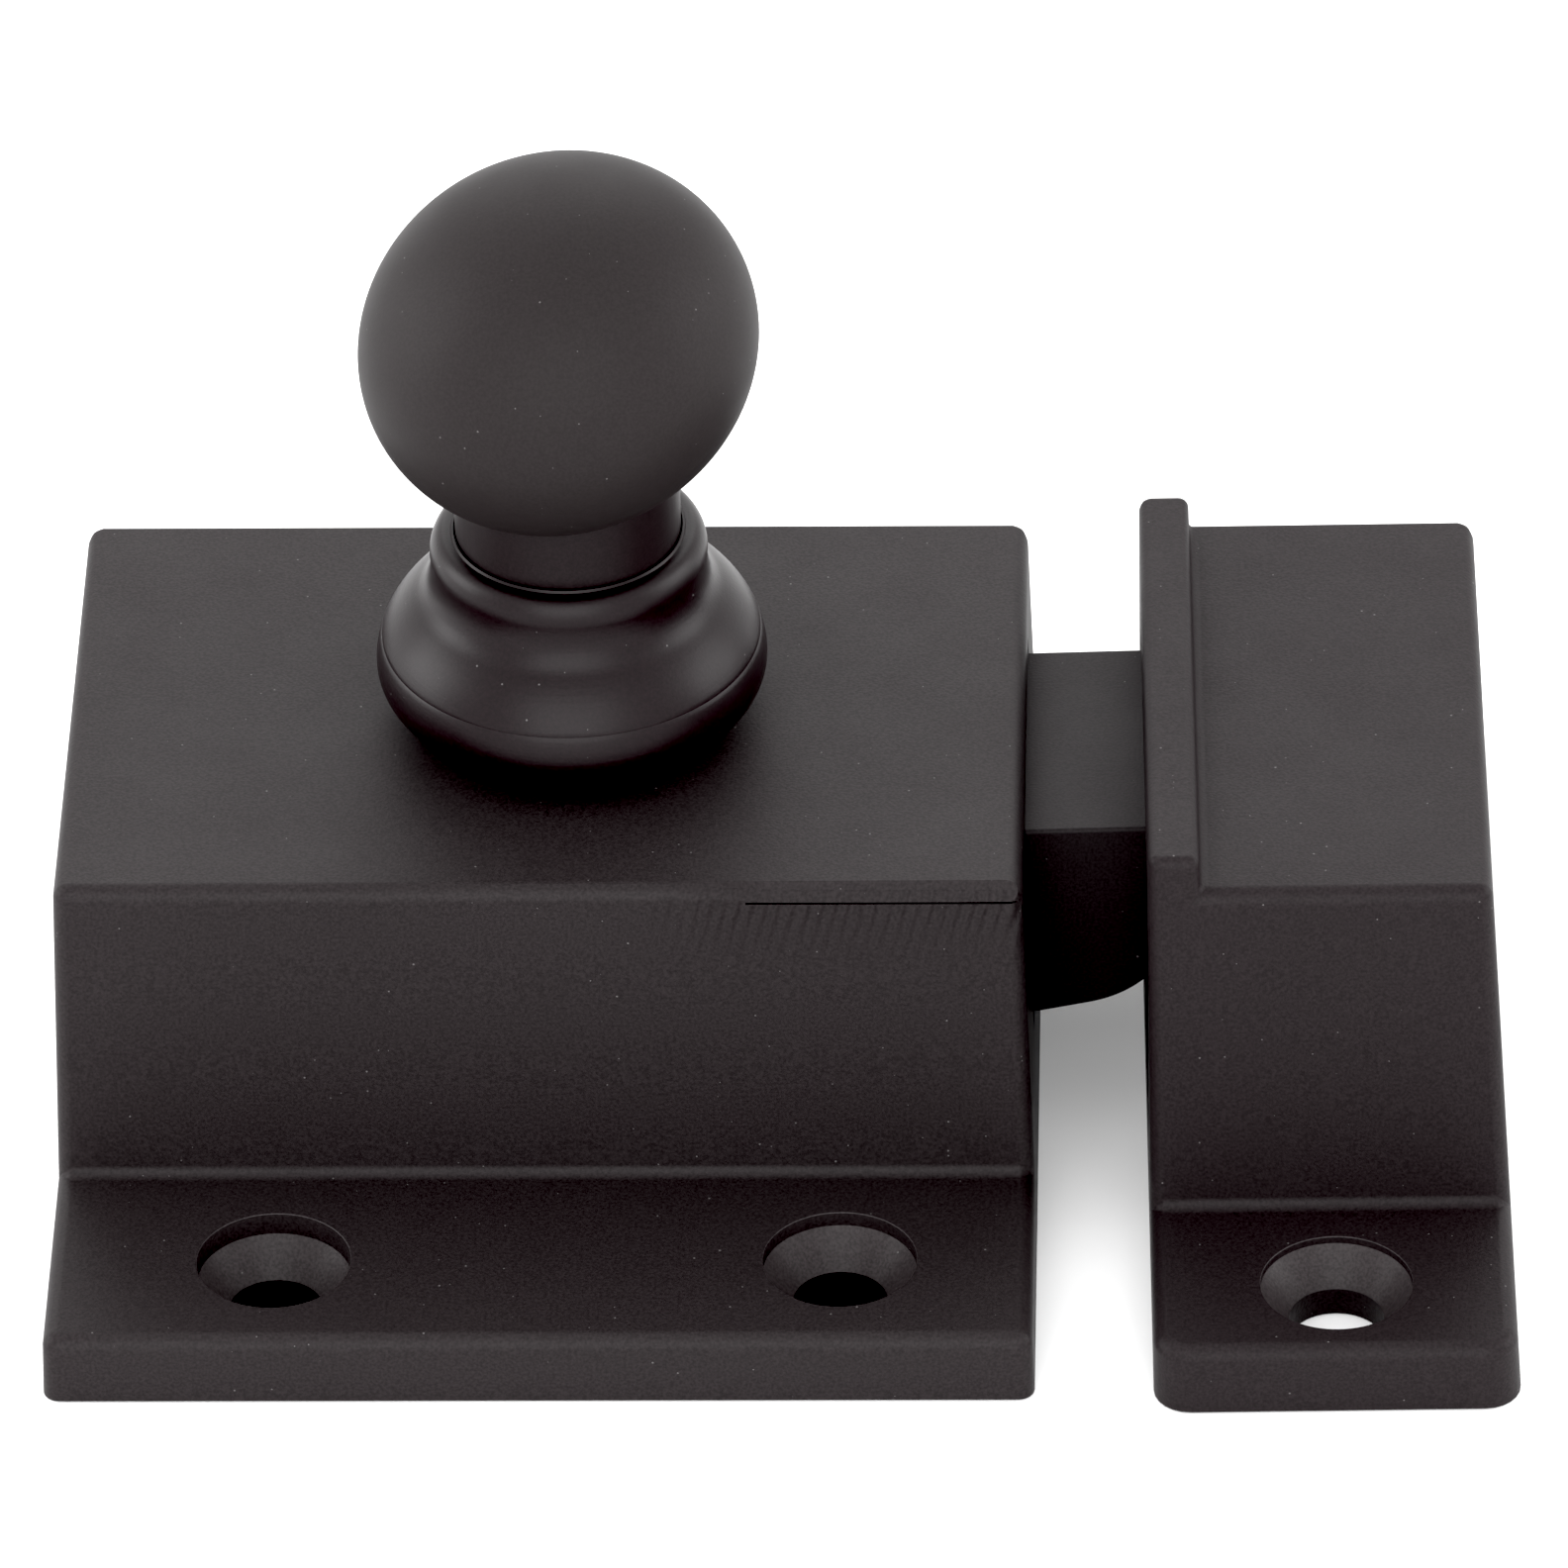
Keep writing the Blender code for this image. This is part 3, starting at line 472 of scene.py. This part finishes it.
def make_strike(material, cone_lit_material):
    lean = STRIKE_DRAFT * STRIKE_HEIGHT
    side = [
        (0, 0),
        (STRIKE_WIDTH, 0),
        (STRIKE_WIDTH - lean, STRIKE_HEIGHT),
        (LIP_WIDTH, STRIKE_HEIGHT),
        (LIP_WIDTH, LIP_TOP),
        (0.03 * MM, LIP_TOP),
    ]
    lip_depth = STRIKE_BODY_HALF_DEPTH - STRIKE_DRAFT * (LIP_TOP - STRIKE_HEIGHT)
    foot = STRIKE_BODY_HALF_DEPTH + STRIKE_DRAFT * (STRIKE_HEIGHT - FLANGE_THICKNESS)
    hat = hat_outline(STRIKE_HALF_DEPTH, lip_depth, LIP_TOP, STRIKE_DRAFT)
    cast = casting("strike_casting", side, hat, STRIKE_HALF_DEPTH + OVERSHOOT)
    nearly = 0.02 * MM

    def corner_radius(middle, direction):
        return STRIKE_CORNER_RADIUS if is_flange_corner(middle, direction, foot) else 0

    def radius_of(middle, direction):
        if middle.z < MERGE_DISTANCE:
            return BOTTOM_RADIUS
        if abs(abs(middle.y) - foot) < nearly and abs(direction.x) > 0.9:
            return FOOT_FILLET
        if is_flange_corner(middle, direction, foot):
            return 0  # rounded already
        if middle.x < LIP_WIDTH + MERGE_DISTANCE and middle.z > STRIKE_HEIGHT - MERGE_DISTANCE:
            return LIP_RADIUS
        rear = middle.y > lip_depth - OVERSHOOT and middle.z > FLANGE_THICKNESS + nearly
        if rear and abs(direction.x) > 0.9:
            return REAR_EDGE_RADIUS
        return EDGE_RADIUS

    round_edges(cast, corner_radius)
    round_edges(cast, radius_of)
    inside_depth = STRIKE_BODY_HALF_DEPTH - STRIKE_WALL
    inside_right = STRIKE_WIDTH - lean - STRIKE_WALL
    hollow = box("hollow", (STRIKE_WALL, -inside_depth, -OVERSHOOT),
                 (inside_right, inside_depth, MOUTH_TOP))
    mouth = box("mouth", (-OVERSHOOT, -MOUTH_HALF_WIDTH, FLANGE_THICKNESS),
                (STRIKE_WALL + OVERSHOOT, MOUTH_HALF_WIDTH, MOUTH_TOP))
    places = [(STRIKE_HOLE.x, y) for y in (-STRIKE_HOLE.y, STRIKE_HOLE.y)]
    holes = [screw_hole(x, y, STRIKE_HEAD_RADIUS, STRIKE_RECESS) for x, y in places]
    combine(cast, [hollow, mouth] + holes)
    piece(smooth(cast), "strike", "strike", material)
    paint_cone_light(cast, places, STRIKE_HEAD_RADIUS, cone_lit_material)
    cast.data.transform(STRIKE_PLACE)


# ---------------------------------------------------------------- turned pieces

def make_rosette(material):
    """A collar with a thin rim at its bore, a bead, a cove, and a bell over an undercut foot."""
    top = CASE_HEIGHT
    bell_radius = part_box("rosette")[1].x
    bead = arc((BEAD_RADIUS, top + BEAD_HEIGHT), BEAD_HALF_WIDTH, BEAD_RISE, 90, -12, 16)
    centre = (bell_radius - BELL_REACH, top + BELL_HEIGHT)
    reach, rise = BELL_REACH, BELL_RISE
    angle, half, depth = TURNED_LINE_ANGLE, TURNED_LINE_HALF_ANGLE, TURNED_LINE_DEPTH
    line = arc(centre, reach - depth, rise - depth, angle, angle, 1)[:1]
    bell = (arc(centre, reach, rise, BELL_TOP_ANGLE, angle + half, 14) + line
            + arc(centre, reach, rise, angle - half, 0, 7))
    undercut_centre = (bell_radius - UNDERCUT_REACH, top + BELL_HEIGHT)
    undercut = arc(undercut_centre, UNDERCUT_REACH, UNDERCUT_DROP, -8, -68, 8)
    rim = [(ROSETTE_BORE + out, top + RIM_HEIGHT + up) for out, up in RIM_SHAPE]
    profile = (
        [(ROSETTE_BORE, top + COUNTERBORE_TOP)]
        + rim
        + bead
        + bend(bead[-1], (COVE_RADIUS, top + COVE_HEIGHT), bell[0], 12)
        + bell
        + undercut
        + [(FOOT_RADIUS, top + FOOT_HEIGHT), (FOOT_RADIUS, top), (TENON_RADIUS, top),
           (TENON_RADIUS, CEILING), (SHANK_BORE, CEILING), (SHANK_BORE, top + COUNTERBORE_TOP)]
    )
    rosette = smooth(turned("rosette_turning", profile, 160, closed=True))
    piece(rosette, "case", "rosette", material)


def make_knob(view_back, material, neck_shaded_material):
    """A straight neck with a flattened ball on it, which leans to the left as the camera sees it."""
    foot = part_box("knob")[0].z
    ball = turned("ball_knob", arc((0, 0), BALL_HALF_WIDTH, BALL_HALF_HEIGHT, 90, -90, 96), 160)
    ball.data.transform(Matrix.Translation(BALL_CENTRE) @ Matrix.Rotation(BALL_LEAN, 4, view_back))
    neck = turned("neck", [
        (0, BALL_CENTRE.z), (NECK_RADIUS, BALL_CENTRE.z), (NECK_RADIUS, NECK_STEP),
        (KNOB_SHANK_RADIUS, NECK_STEP), (KNOB_SHANK_RADIUS, foot), (0, foot),
    ], 160)
    bore = turned("bore", [
        (0, KNOB_BORE_TOP + KNOB_BORE_POINT), (KNOB_BORE_RADIUS, KNOB_BORE_TOP),
        (KNOB_BORE_RADIUS, foot - OVERSHOOT), (0, foot - OVERSHOOT),
    ], 64)
    combine(ball, [neck], "UNION")
    combine(ball, [bore])
    piece(smooth(ball), "knob", "knob", material)
    # The neck gets a darker copy of the knob's lacquer: painted shade, for the shade under the ball.
    ball.data.materials.append(neck_shaded_material)
    for face in ball.data.polygons:
        across = math.hypot(face.center.x, face.center.y)
        if across < NECK_RADIUS and face.center.z < BALL_CENTRE.z:
            face.material_index = 1


# ---------------------------------------------------------------- bolt and spring

def make_bolt(material):
    """A slotted bar with a lug at its rear and a block at its nose, whose underside slopes and curves up."""
    low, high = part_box("latch_bolt")
    start = Vector((NOSE_START, low.z))
    curve_start = start + Vector((NOSE_STRAIGHT, math.tan(NOSE_SLOPE) * NOSE_STRAIGHT))
    centre = curve_start + NOSE_RADIUS * Vector((-math.sin(NOSE_SLOPE), math.cos(NOSE_SLOPE)))
    first, last = math.degrees(NOSE_SLOPE) - 90, math.degrees(RAMP_SLOPE) - 90
    outline = (
        [(low.x, LUG_FOOT), (LUG_RIGHT, LUG_FOOT), (LUG_RIGHT, BAR_UNDERSIDE), (BLOCK_LEFT, BAR_UNDERSIDE),
         (BLOCK_LEFT, low.z), tuple(start)]
        + arc(centre, NOSE_RADIUS, NOSE_RADIUS, first, last, 14)
        + [(high.x, RAMP_TOP), (high.x, high.z), (BLOCK_LEFT, BOLT_TOP), (low.x, BOLT_TOP)]
    )
    bolt = prism("bolt_bar", outline, "Y", BOLT_Y - BOLT_HALF_WIDTH, BOLT_Y + BOLT_HALF_WIDTH)

    def radius_of(middle, direction):
        return 0 if abs(direction.y) > 0.9 and middle.z < RAMP_TOP else BOLT_EDGE_RADIUS

    round_edges(bolt, radius_of, 4)
    slot = box("slot", (-SLOT_HALF_WIDTH, -SLOT_HALF_WIDTH, BAR_UNDERSIDE - OVERSHOOT),
               (SLOT_RIGHT, SLOT_HALF_WIDTH, BOLT_TOP + OVERSHOOT))
    combine(bolt, [slot])
    piece(smooth(bolt), "bolt", "latch_bolt", material)


def make_spring(material):
    """A coil along X with a closed turn at each end."""
    low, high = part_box("bolt_spring")
    centre_y, centre_z = (low.y + high.y) / 2, (low.z + high.z) / 2
    coil_radius = (high.z - low.z) / 2 - WIRE_RADIUS
    start, end = low.x + WIRE_RADIUS, high.x - WIRE_RADIUS
    pitch = 2.1 * WIRE_RADIUS  # of a closed turn
    active = end - start - 2 * pitch
    count = SPRING_TURNS * SPRING_STEPS
    bm = bmesh.new()
    rings = []
    for number in range(count + 1):
        turn = number / SPRING_STEPS
        along = start + pitch * min(turn, 1) + pitch * max(turn - SPRING_TURNS + 1, 0)
        along += active * min(max((turn - 1) / (SPRING_TURNS - 2), 0), 1)
        angle = 2 * math.pi * turn
        out = Vector((0, math.cos(angle), math.sin(angle)))
        middle = Vector((along, centre_y, centre_z)) + out * coil_radius
        ring = []
        for side in range(WIRE_SIDES):
            around = 2 * math.pi * side / WIRE_SIDES
            offset = out * math.cos(around) + Vector((1, 0, 0)) * math.sin(around)
            ring.append(bm.verts.new(middle + offset * WIRE_RADIUS))
        rings.append(ring)
    for before, after in zip(rings, rings[1:]):
        for side in range(WIRE_SIDES):
            following = (side + 1) % WIRE_SIDES
            bm.faces.new([before[side], before[following], after[following], after[side]])
    bm.faces.new(rings[0])
    bm.faces.new(rings[-1])
    bmesh.ops.recalc_face_normals(bm, faces=bm.faces)
    spring = piece(smooth(from_bmesh("coil_spring", bm)), "case", "bolt_spring", material)
    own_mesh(spring)


# ---------------------------------------------------------------- back plate

def make_back_plate(plate_material, screw_material):
    """The sheet that closes the case from behind, and its four slotted screws."""
    low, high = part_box("back_plate")
    plate = box("closing_plate", low, high)
    round_edges(plate, lambda middle, direction: PLATE_EDGE_RADIUS, 3)
    holes = []
    for number in range(1, 5):
        node = f"back_plate_screw_{number}"
        screw_low, screw_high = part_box(node)
        x, y = (screw_low.x + screw_high.x) / 2, (screw_low.y + screw_high.y) / 2
        head = (screw_high.x - screw_low.x) / 2
        wide, narrow = head + SCREW_GAP, SCREW_SHANK_RADIUS + SCREW_GAP
        hole = turned("plate_hole", [
            (0, high.z + OVERSHOOT), (narrow, high.z + OVERSHOOT), (narrow, high.z - SCREW_BRIM),
            (wide, SCREW_BRIM), (wide, -OVERSHOOT), (0, -OVERSHOOT),
        ], 48)
        hole.location = (x, y, 0)
        holes.append(hole)
        make_plate_screw(node, (x, y), head, high.z, screw_high.z, screw_material)
    combine(plate, holes)
    piece(smooth(plate), "case", "back_plate", plate_material)


def make_plate_screw(node, place, head, plate_top, tip, material):
    """A countersunk screw with a rounded brim, thread ridges and a straight slot in its head."""
    x, y = place
    shank, brim = SCREW_SHANK_RADIUS, SCREW_BRIM
    core = shank - THREAD_RIDGE
    thread_start, thread_end = plate_top + 0.2 * MM, tip - 0.3 * MM
    thread = []
    for number in range(int((thread_end - thread_start) / THREAD_PITCH)):
        foot = thread_start + number * THREAD_PITCH
        thread += [(core, foot), (shank, foot + THREAD_PITCH / 2)]
    profile = (
        [(0, tip), (shank - 3 * THREAD_RIDGE, tip), (core, tip - 0.2 * MM)]
        + thread[::-1]
        + [(shank, plate_top), (head, brim)]
        + arc((head - brim / 2, brim / 2), brim / 2, brim / 2, 0, -90, 3)
        + [(0, 0)]
    )
    screw = turned("slotted_screw" + node[-2:], profile, 48)
    screw.data.transform(Matrix.Translation((x, y, 0)))
    reach = head + OVERSHOOT
    slot = box("slot", (x - reach, y - SLOT_HALF, -OVERSHOOT), (x + reach, y + SLOT_HALF, SLOT_DEPTH))
    combine(screw, [slot])
    piece(smooth(screw), "case", node, material)


# ---------------------------------------------------------------- materials

CASTING_BLACK = (0.0170, 0.0142, 0.0149)
STRIKE_BLACK = (0.0140, 0.0112, 0.0120)
# darker than the case's black all over the bolt: painted shade, for its front face in the dark gap by the
# strike
BOLT_SHADED_BLACK = (0.0120, 0.0095, 0.0103)
KNOB_BLACK = (0.0178, 0.0153, 0.0156)
# darker than the knob's black: painted shade for the neck under the ball
NECK_SHADED_BLACK = (0.0078, 0.0050, 0.0057)
ROSETTE_BLACK = (0.0069, 0.0040, 0.0048)
CONE_LIT_GREY = (0.0320, 0.0275, 0.0285)  # painted light: lighter than the castings' black, for the light the countersinks' slopes catch
DUST = (0.085, 0.080, 0.080, 1)
STEEL = (0.55, 0.55, 0.56, 1)
BRASS = (0.70, 0.50, 0.22, 1)
NYLON = (0.70, 0.69, 0.65, 1)

# The textures' scales are per millimetre.
GRAIN_SCALE = 9
GRAIN_RANGE = (0.34, 0.66)  # of the noise, from the darkest to the lightest
GRAIN_CONTRAST = 0.24  # of that darkest and lightest, to the colour
GRAIN_HEIGHT = 0.010 * MM
CLOUD_SCALE = 0.35
CLOUD_SPREAD = 0.06  # of roughness, either way
TURNING_SCALE = (0.15, 0.15, 9)
TURNING_HEIGHT = 0.004 * MM
FILE_MARK_HEIGHT = 0.070 * MM
FILE_MARK_SCALE = 0.72
FILE_MARK_SLANT = math.radians(-28)
FILE_MARKS_ALONG = (2.0, 6.0)  # millimetres of X over which they come in
FILE_MARKS_DOWN = (3.4, 1.0)  # millimetres under the case's top, from none to all
DUST_SCALE = 2.2
DUST_REACH = 0.090  # of the largest speck, in cells of the dust
DUST_THRESHOLD = 0.55  # the share of cells without a speck


class Nodes:
    """Builds a material's nodes: make() adds one with its settings, link() joins two sockets."""

    def __init__(self, name):
        self.material = bpy.data.materials.new(name)
        self.material.use_nodes = True
        self.tree = self.material.node_tree
        self.shader = self.tree.nodes["Principled BSDF"]
        self.link = self.tree.links.new

    def make(self, kind, settings=(), **inputs):
        node = self.tree.nodes.new("ShaderNode" + kind)
        for key, value in dict(settings).items():
            setattr(node, key, value)
        for key, value in inputs.items():
            node.inputs[key.replace("_", " ")].default_value = value
        return node

    def millimetres(self, scale=(1, 1, 1)):
        """The object's own coordinates in millimetres, stretched by scale."""
        place = self.make("TexCoord")
        mapping = self.make("Mapping", Scale=tuple(s / MM for s in scale))
        self.link(place.outputs["Object"], mapping.inputs["Vector"])
        return mapping.outputs["Vector"]

    def noise(self, vector, scale, detail=3):
        node = self.make("TexNoise", Scale=scale, Detail=detail)
        self.link(vector, node.inputs["Vector"])
        return node.outputs["Fac"]

    def spread(self, value, low, high, start=0.0, end=1.0):
        """value, which goes from start to end, made to go from low to high."""
        node = self.make("MapRange", From_Min=start, From_Max=end, To_Min=low, To_Max=high)
        self.link(value, node.inputs["Value"])
        return node.outputs["Result"]

    def maths(self, operation, a, b):
        node = self.make("Math", {"operation": operation})
        for socket, value in zip(node.inputs, (a, b)):
            if isinstance(value, (int, float)):
                socket.default_value = value
            else:
                self.link(value, socket)
        return node.outputs["Value"]

    def bump(self, height, distance, before=None):
        node = self.make("Bump", Strength=1.0, Distance=distance)
        self.link(height, node.inputs["Height"])
        if before:
            self.link(before, node.inputs["Normal"])
        return node.outputs["Normal"]


def flat_black(name, colour, roughness, gloss, grain_height=GRAIN_HEIGHT,
               contrast=GRAIN_CONTRAST, turning=False, filed=False):
    """Flat black lacquer over metal: fine grain, faint clouds, dust, and the marks of its making."""
    nodes = Nodes(name)
    shader = nodes.shader
    place = nodes.millimetres()
    grain = nodes.noise(place, GRAIN_SCALE)
    clouds = nodes.noise(place, CLOUD_SCALE, 4)
    finish = nodes.spread(clouds, roughness - CLOUD_SPREAD, roughness + CLOUD_SPREAD)
    nodes.link(finish, shader.inputs["Roughness"])
    shader.inputs["Specular IOR Level"].default_value = gloss

    normal = nodes.bump(grain, grain_height)
    if turning:
        rings = nodes.noise(nodes.millimetres(TURNING_SCALE), 1, 4)
        normal = nodes.bump(rings, TURNING_HEIGHT, normal)
    if filed:
        normal = nodes.bump(file_marks(nodes, place), FILE_MARK_HEIGHT, normal)
    nodes.link(normal, shader.inputs["Normal"])

    dust = nodes.make("TexVoronoi", Scale=DUST_SCALE)
    nodes.link(place, dust.inputs["Vector"])
    pick = nodes.make("SeparateColor")
    nodes.link(dust.outputs["Color"], pick.inputs["Color"])
    reach = nodes.spread(pick.outputs["Red"], 0.0, DUST_REACH, DUST_THRESHOLD, 1.0)
    speck = nodes.maths("LESS_THAN", dust.outputs["Distance"], reach)
    dark = tuple(c * (1 - contrast) for c in colour) + (1,)
    light = tuple(c * (1 + contrast) for c in colour) + (1,)
    tone = nodes.make("Mix", {"data_type": "RGBA"}, A=dark, B=light)
    nodes.link(nodes.spread(grain, 0, 1, *GRAIN_RANGE), tone.inputs["Factor"])
    mix = nodes.make("Mix", {"data_type": "RGBA"}, B=DUST)
    nodes.link(speck, mix.inputs["Factor"])
    nodes.link(tone.outputs["Result"], mix.inputs["A"])
    nodes.link(mix.outputs["Result"], shader.inputs["Base Color"])
    return nodes.material


def file_marks(nodes, place):
    """Short slanting strokes under the case's filed edge, as a height that fades out downwards."""
    split = nodes.make("SeparateXYZ")
    nodes.link(place, split.inputs["Vector"])
    wave = nodes.make("TexWave", {"bands_direction": "X"}, Scale=FILE_MARK_SCALE, Distortion=2.0, Detail=2.0)
    slant = nodes.make("Mapping", Rotation=(0, FILE_MARK_SLANT, 0), Scale=(1, 1, 0.45))
    nodes.link(place, slant.inputs["Vector"])
    nodes.link(slant.outputs["Vector"], wave.inputs["Vector"])
    foot, full = (CASE_HEIGHT / MM - down for down in FILE_MARKS_DOWN)
    along = nodes.spread(split.outputs["X"], 0, 1, *FILE_MARKS_ALONG)
    below = nodes.spread(split.outputs["Z"], 0, 1, foot, full)
    in_front = nodes.maths("LESS_THAN", split.outputs["Y"], -WALL_HALF_DEPTH / MM + 0.3)
    mask = nodes.maths("MULTIPLY", nodes.maths("MULTIPLY", along, below), in_front)
    return nodes.maths("MULTIPLY", wave.outputs["Fac"], mask)


def metal(name, colour, roughness, metallic=1.0):
    """Plain metal with a faint drawn grain, and a few darker clouds of handling."""
    nodes = Nodes(name)
    shader = nodes.shader
    shader.inputs["Metallic"].default_value = metallic
    place = nodes.millimetres()
    drawn = nodes.noise(nodes.millimetres((0.6, 8, 8)), 1)
    nodes.link(nodes.spread(drawn, roughness - 0.08, roughness + 0.12), shader.inputs["Roughness"])
    nodes.link(nodes.bump(drawn, 0.003 * MM), shader.inputs["Normal"])
    darker = tuple(c * 0.72 for c in colour[:3]) + (1,)
    mix = nodes.make("Mix", {"data_type": "RGBA"}, A=colour, B=darker)
    nodes.link(nodes.noise(place, 0.5, 4), mix.inputs["Factor"])
    nodes.link(mix.outputs["Result"], shader.inputs["Base Color"])
    return nodes.material


# ---------------------------------------------------------------- stage

FLOOR_REACH = 1.5
FLOOR_HEIGHT = -0.05 * MM
FLOOR_GREY = 0.85
FLOOR_GLOW = 0.10
# The black card under the case is painted shade: it darkens the floor seen through the case's screw holes.
SHADE_CARD_INSET = 1.0 * MM
SHADE_CARD_HEIGHT = -0.02 * MM
SHADE_CARD_GREY = 0.004
WORLD_STRENGTH = 1.80
LIT_POINT = (0, 0, 0.02)
SOFTBOXES = [  # name, place in metres, watts, width in metres
    ("top", (0, 0.05, 0.80), 0.36, 0.8),
    ("back", (0, 0.60, 0.45), 2.20, 0.7),
    ("front", (0, -0.60, 0.30), 3.30, 0.6),
    ("left", (-0.50, 0.05, 0.18), 1.62, 0.3),
    ("right", (0.50, 0.05, 0.18), 1.29, 0.3),
]
BLACK_LEVEL = 0.0192  # in scene-linear light


def make_camera():
    """Places the camera, and returns the direction from the latch back to it."""
    data = bpy.data.cameras.new("camera")
    data.lens = 362.4
    data.sensor_width = 36
    data.clip_end = 10
    camera = new_object("camera", data)
    right = Vector((0.99957, 0.02190, -0.01925))
    up = Vector((0.00295, 0.58106, 0.81386))
    back = Vector((0.02901, -0.81357, 0.58074))
    turn = Matrix((right, up, back)).transposed().to_4x4()
    camera.matrix_world = Matrix.Translation((0.02425, -0.46792, 0.34552)) @ turn
    bpy.context.scene.camera = camera
    return back


def stage_sheet(name, low, high, height, colour, glow=0.0):
    """A flat sheet of paper that the latch lies on."""
    bm = bmesh.new()
    corners = [(low[0], low[1]), (high[0], low[1]), (high[0], high[1]), (low[0], high[1])]
    bm.faces.new([bm.verts.new((x, y, height)) for x, y in corners])
    sheet = from_bmesh(name, bm)
    nodes = Nodes(name + "_paper")
    nodes.shader.inputs["Base Color"].default_value = (colour, colour, colour, 1)
    nodes.shader.inputs["Roughness"].default_value = 0.9
    nodes.shader.inputs["Specular IOR Level"].default_value = 0.0
    nodes.shader.inputs["Emission Color"].default_value = (1, 1, 1, 1)
    nodes.shader.inputs["Emission Strength"].default_value = glow
    sheet.data.materials.append(nodes.material)


def softbox(name, place, power, width):
    """A square area light in watts and metres, turned to the latch."""
    data = bpy.data.lights.new(name, "AREA")
    data.energy = power
    data.size = width
    lamp = new_object(name, data)
    lamp.location = place
    aim = Vector(LIT_POINT) - Vector(place)
    lamp.rotation_euler = aim.to_track_quat("-Z", "Y").to_euler()


def make_stage():
    """A pale floor, a black card hidden under the case as painted shade for the floor seen through its screw
    holes, and soft light from all round.
    """
    stage_sheet("floor", (-FLOOR_REACH, -FLOOR_REACH), (FLOOR_REACH, FLOOR_REACH), FLOOR_HEIGHT,
                FLOOR_GREY, FLOOR_GLOW)
    # The card is painted shade for the floor under the case's screw holes.
    inset = SHADE_CARD_INSET
    stage_sheet("card", (CASE_LOW.x + inset, CASE_LOW.y + inset),
                (CASE_HIGH.x - inset, CASE_HIGH.y - inset), SHADE_CARD_HEIGHT, SHADE_CARD_GREY)
    world = bpy.data.worlds.new("studio")
    world.use_nodes = True
    background = world.node_tree.nodes["Background"]
    background.inputs["Color"].default_value = (1, 1, 1, 1)
    background.inputs["Strength"].default_value = WORLD_STRENGTH
    bpy.context.scene.world = world
    for name, place, power, width in SOFTBOXES:
        softbox(name + "_softbox", place, power, width)
    view = bpy.context.scene.view_settings
    view.view_transform = "Standard"
    view.use_curve_mapping = True
    view.curve_mapping.black_level = (BLACK_LEVEL,) * 3
    view.curve_mapping.update()


# ---------------------------------------------------------------- the latch

view_back = make_camera()
make_stage()
# The countersinks get a lighter copy of the lacquer: painted light.
cone_lit_finish = flat_black("cone_lit_lacquer", CONE_LIT_GREY, 0.45, 0.15, 0.003 * MM, turning=True)
make_case(flat_black("case_lacquer", CASTING_BLACK, 0.52, 0.142, filed=True), cone_lit_finish)
make_rosette(flat_black("rosette_lacquer", ROSETTE_BLACK, 0.38, 0.205, 0.004 * MM, turning=True))
# The neck's darker lacquer is painted shade under the ball.
neck_shaded_finish = flat_black("neck_shaded_lacquer", NECK_SHADED_BLACK, 0.48, 0.19, 0.003 * MM, turning=True)
knob_finish = flat_black("knob_lacquer", KNOB_BLACK, 0.55, 0.12, 0.002 * MM, contrast=0.10)
make_knob(view_back, knob_finish, neck_shaded_finish)
# The bolt's darker black is painted shade for its front face in the gap.
make_bolt(flat_black("bolt_shaded_lacquer", BOLT_SHADED_BLACK, 0.52, 0.16))
make_strike(flat_black("strike_lacquer", STRIKE_BLACK, 0.52, 0.135), cone_lit_finish)
make_spring(metal("spring_wire", STEEL, 0.25))
make_back_plate(metal("plate_zinc", STEEL, 0.45), metal("screw_zinc", STEEL, 0.35))
for node, colour, roughness, metallic in [
    ("spindle", STEEL, 0.35, 1), ("cam", BRASS, 0.35, 1), ("cam_washer", STEEL, 0.35, 1),
    ("cam_retaining_ring", STEEL, 0.3, 1), ("spring_guide_pin", STEEL, 0.3, 1),
    ("thrust_washer", NYLON, 0.5, 0),
]:
    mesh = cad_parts[node].data
    mesh.materials.clear()
    mesh.materials.append(metal(node + "_finish", colour, roughness, metallic))
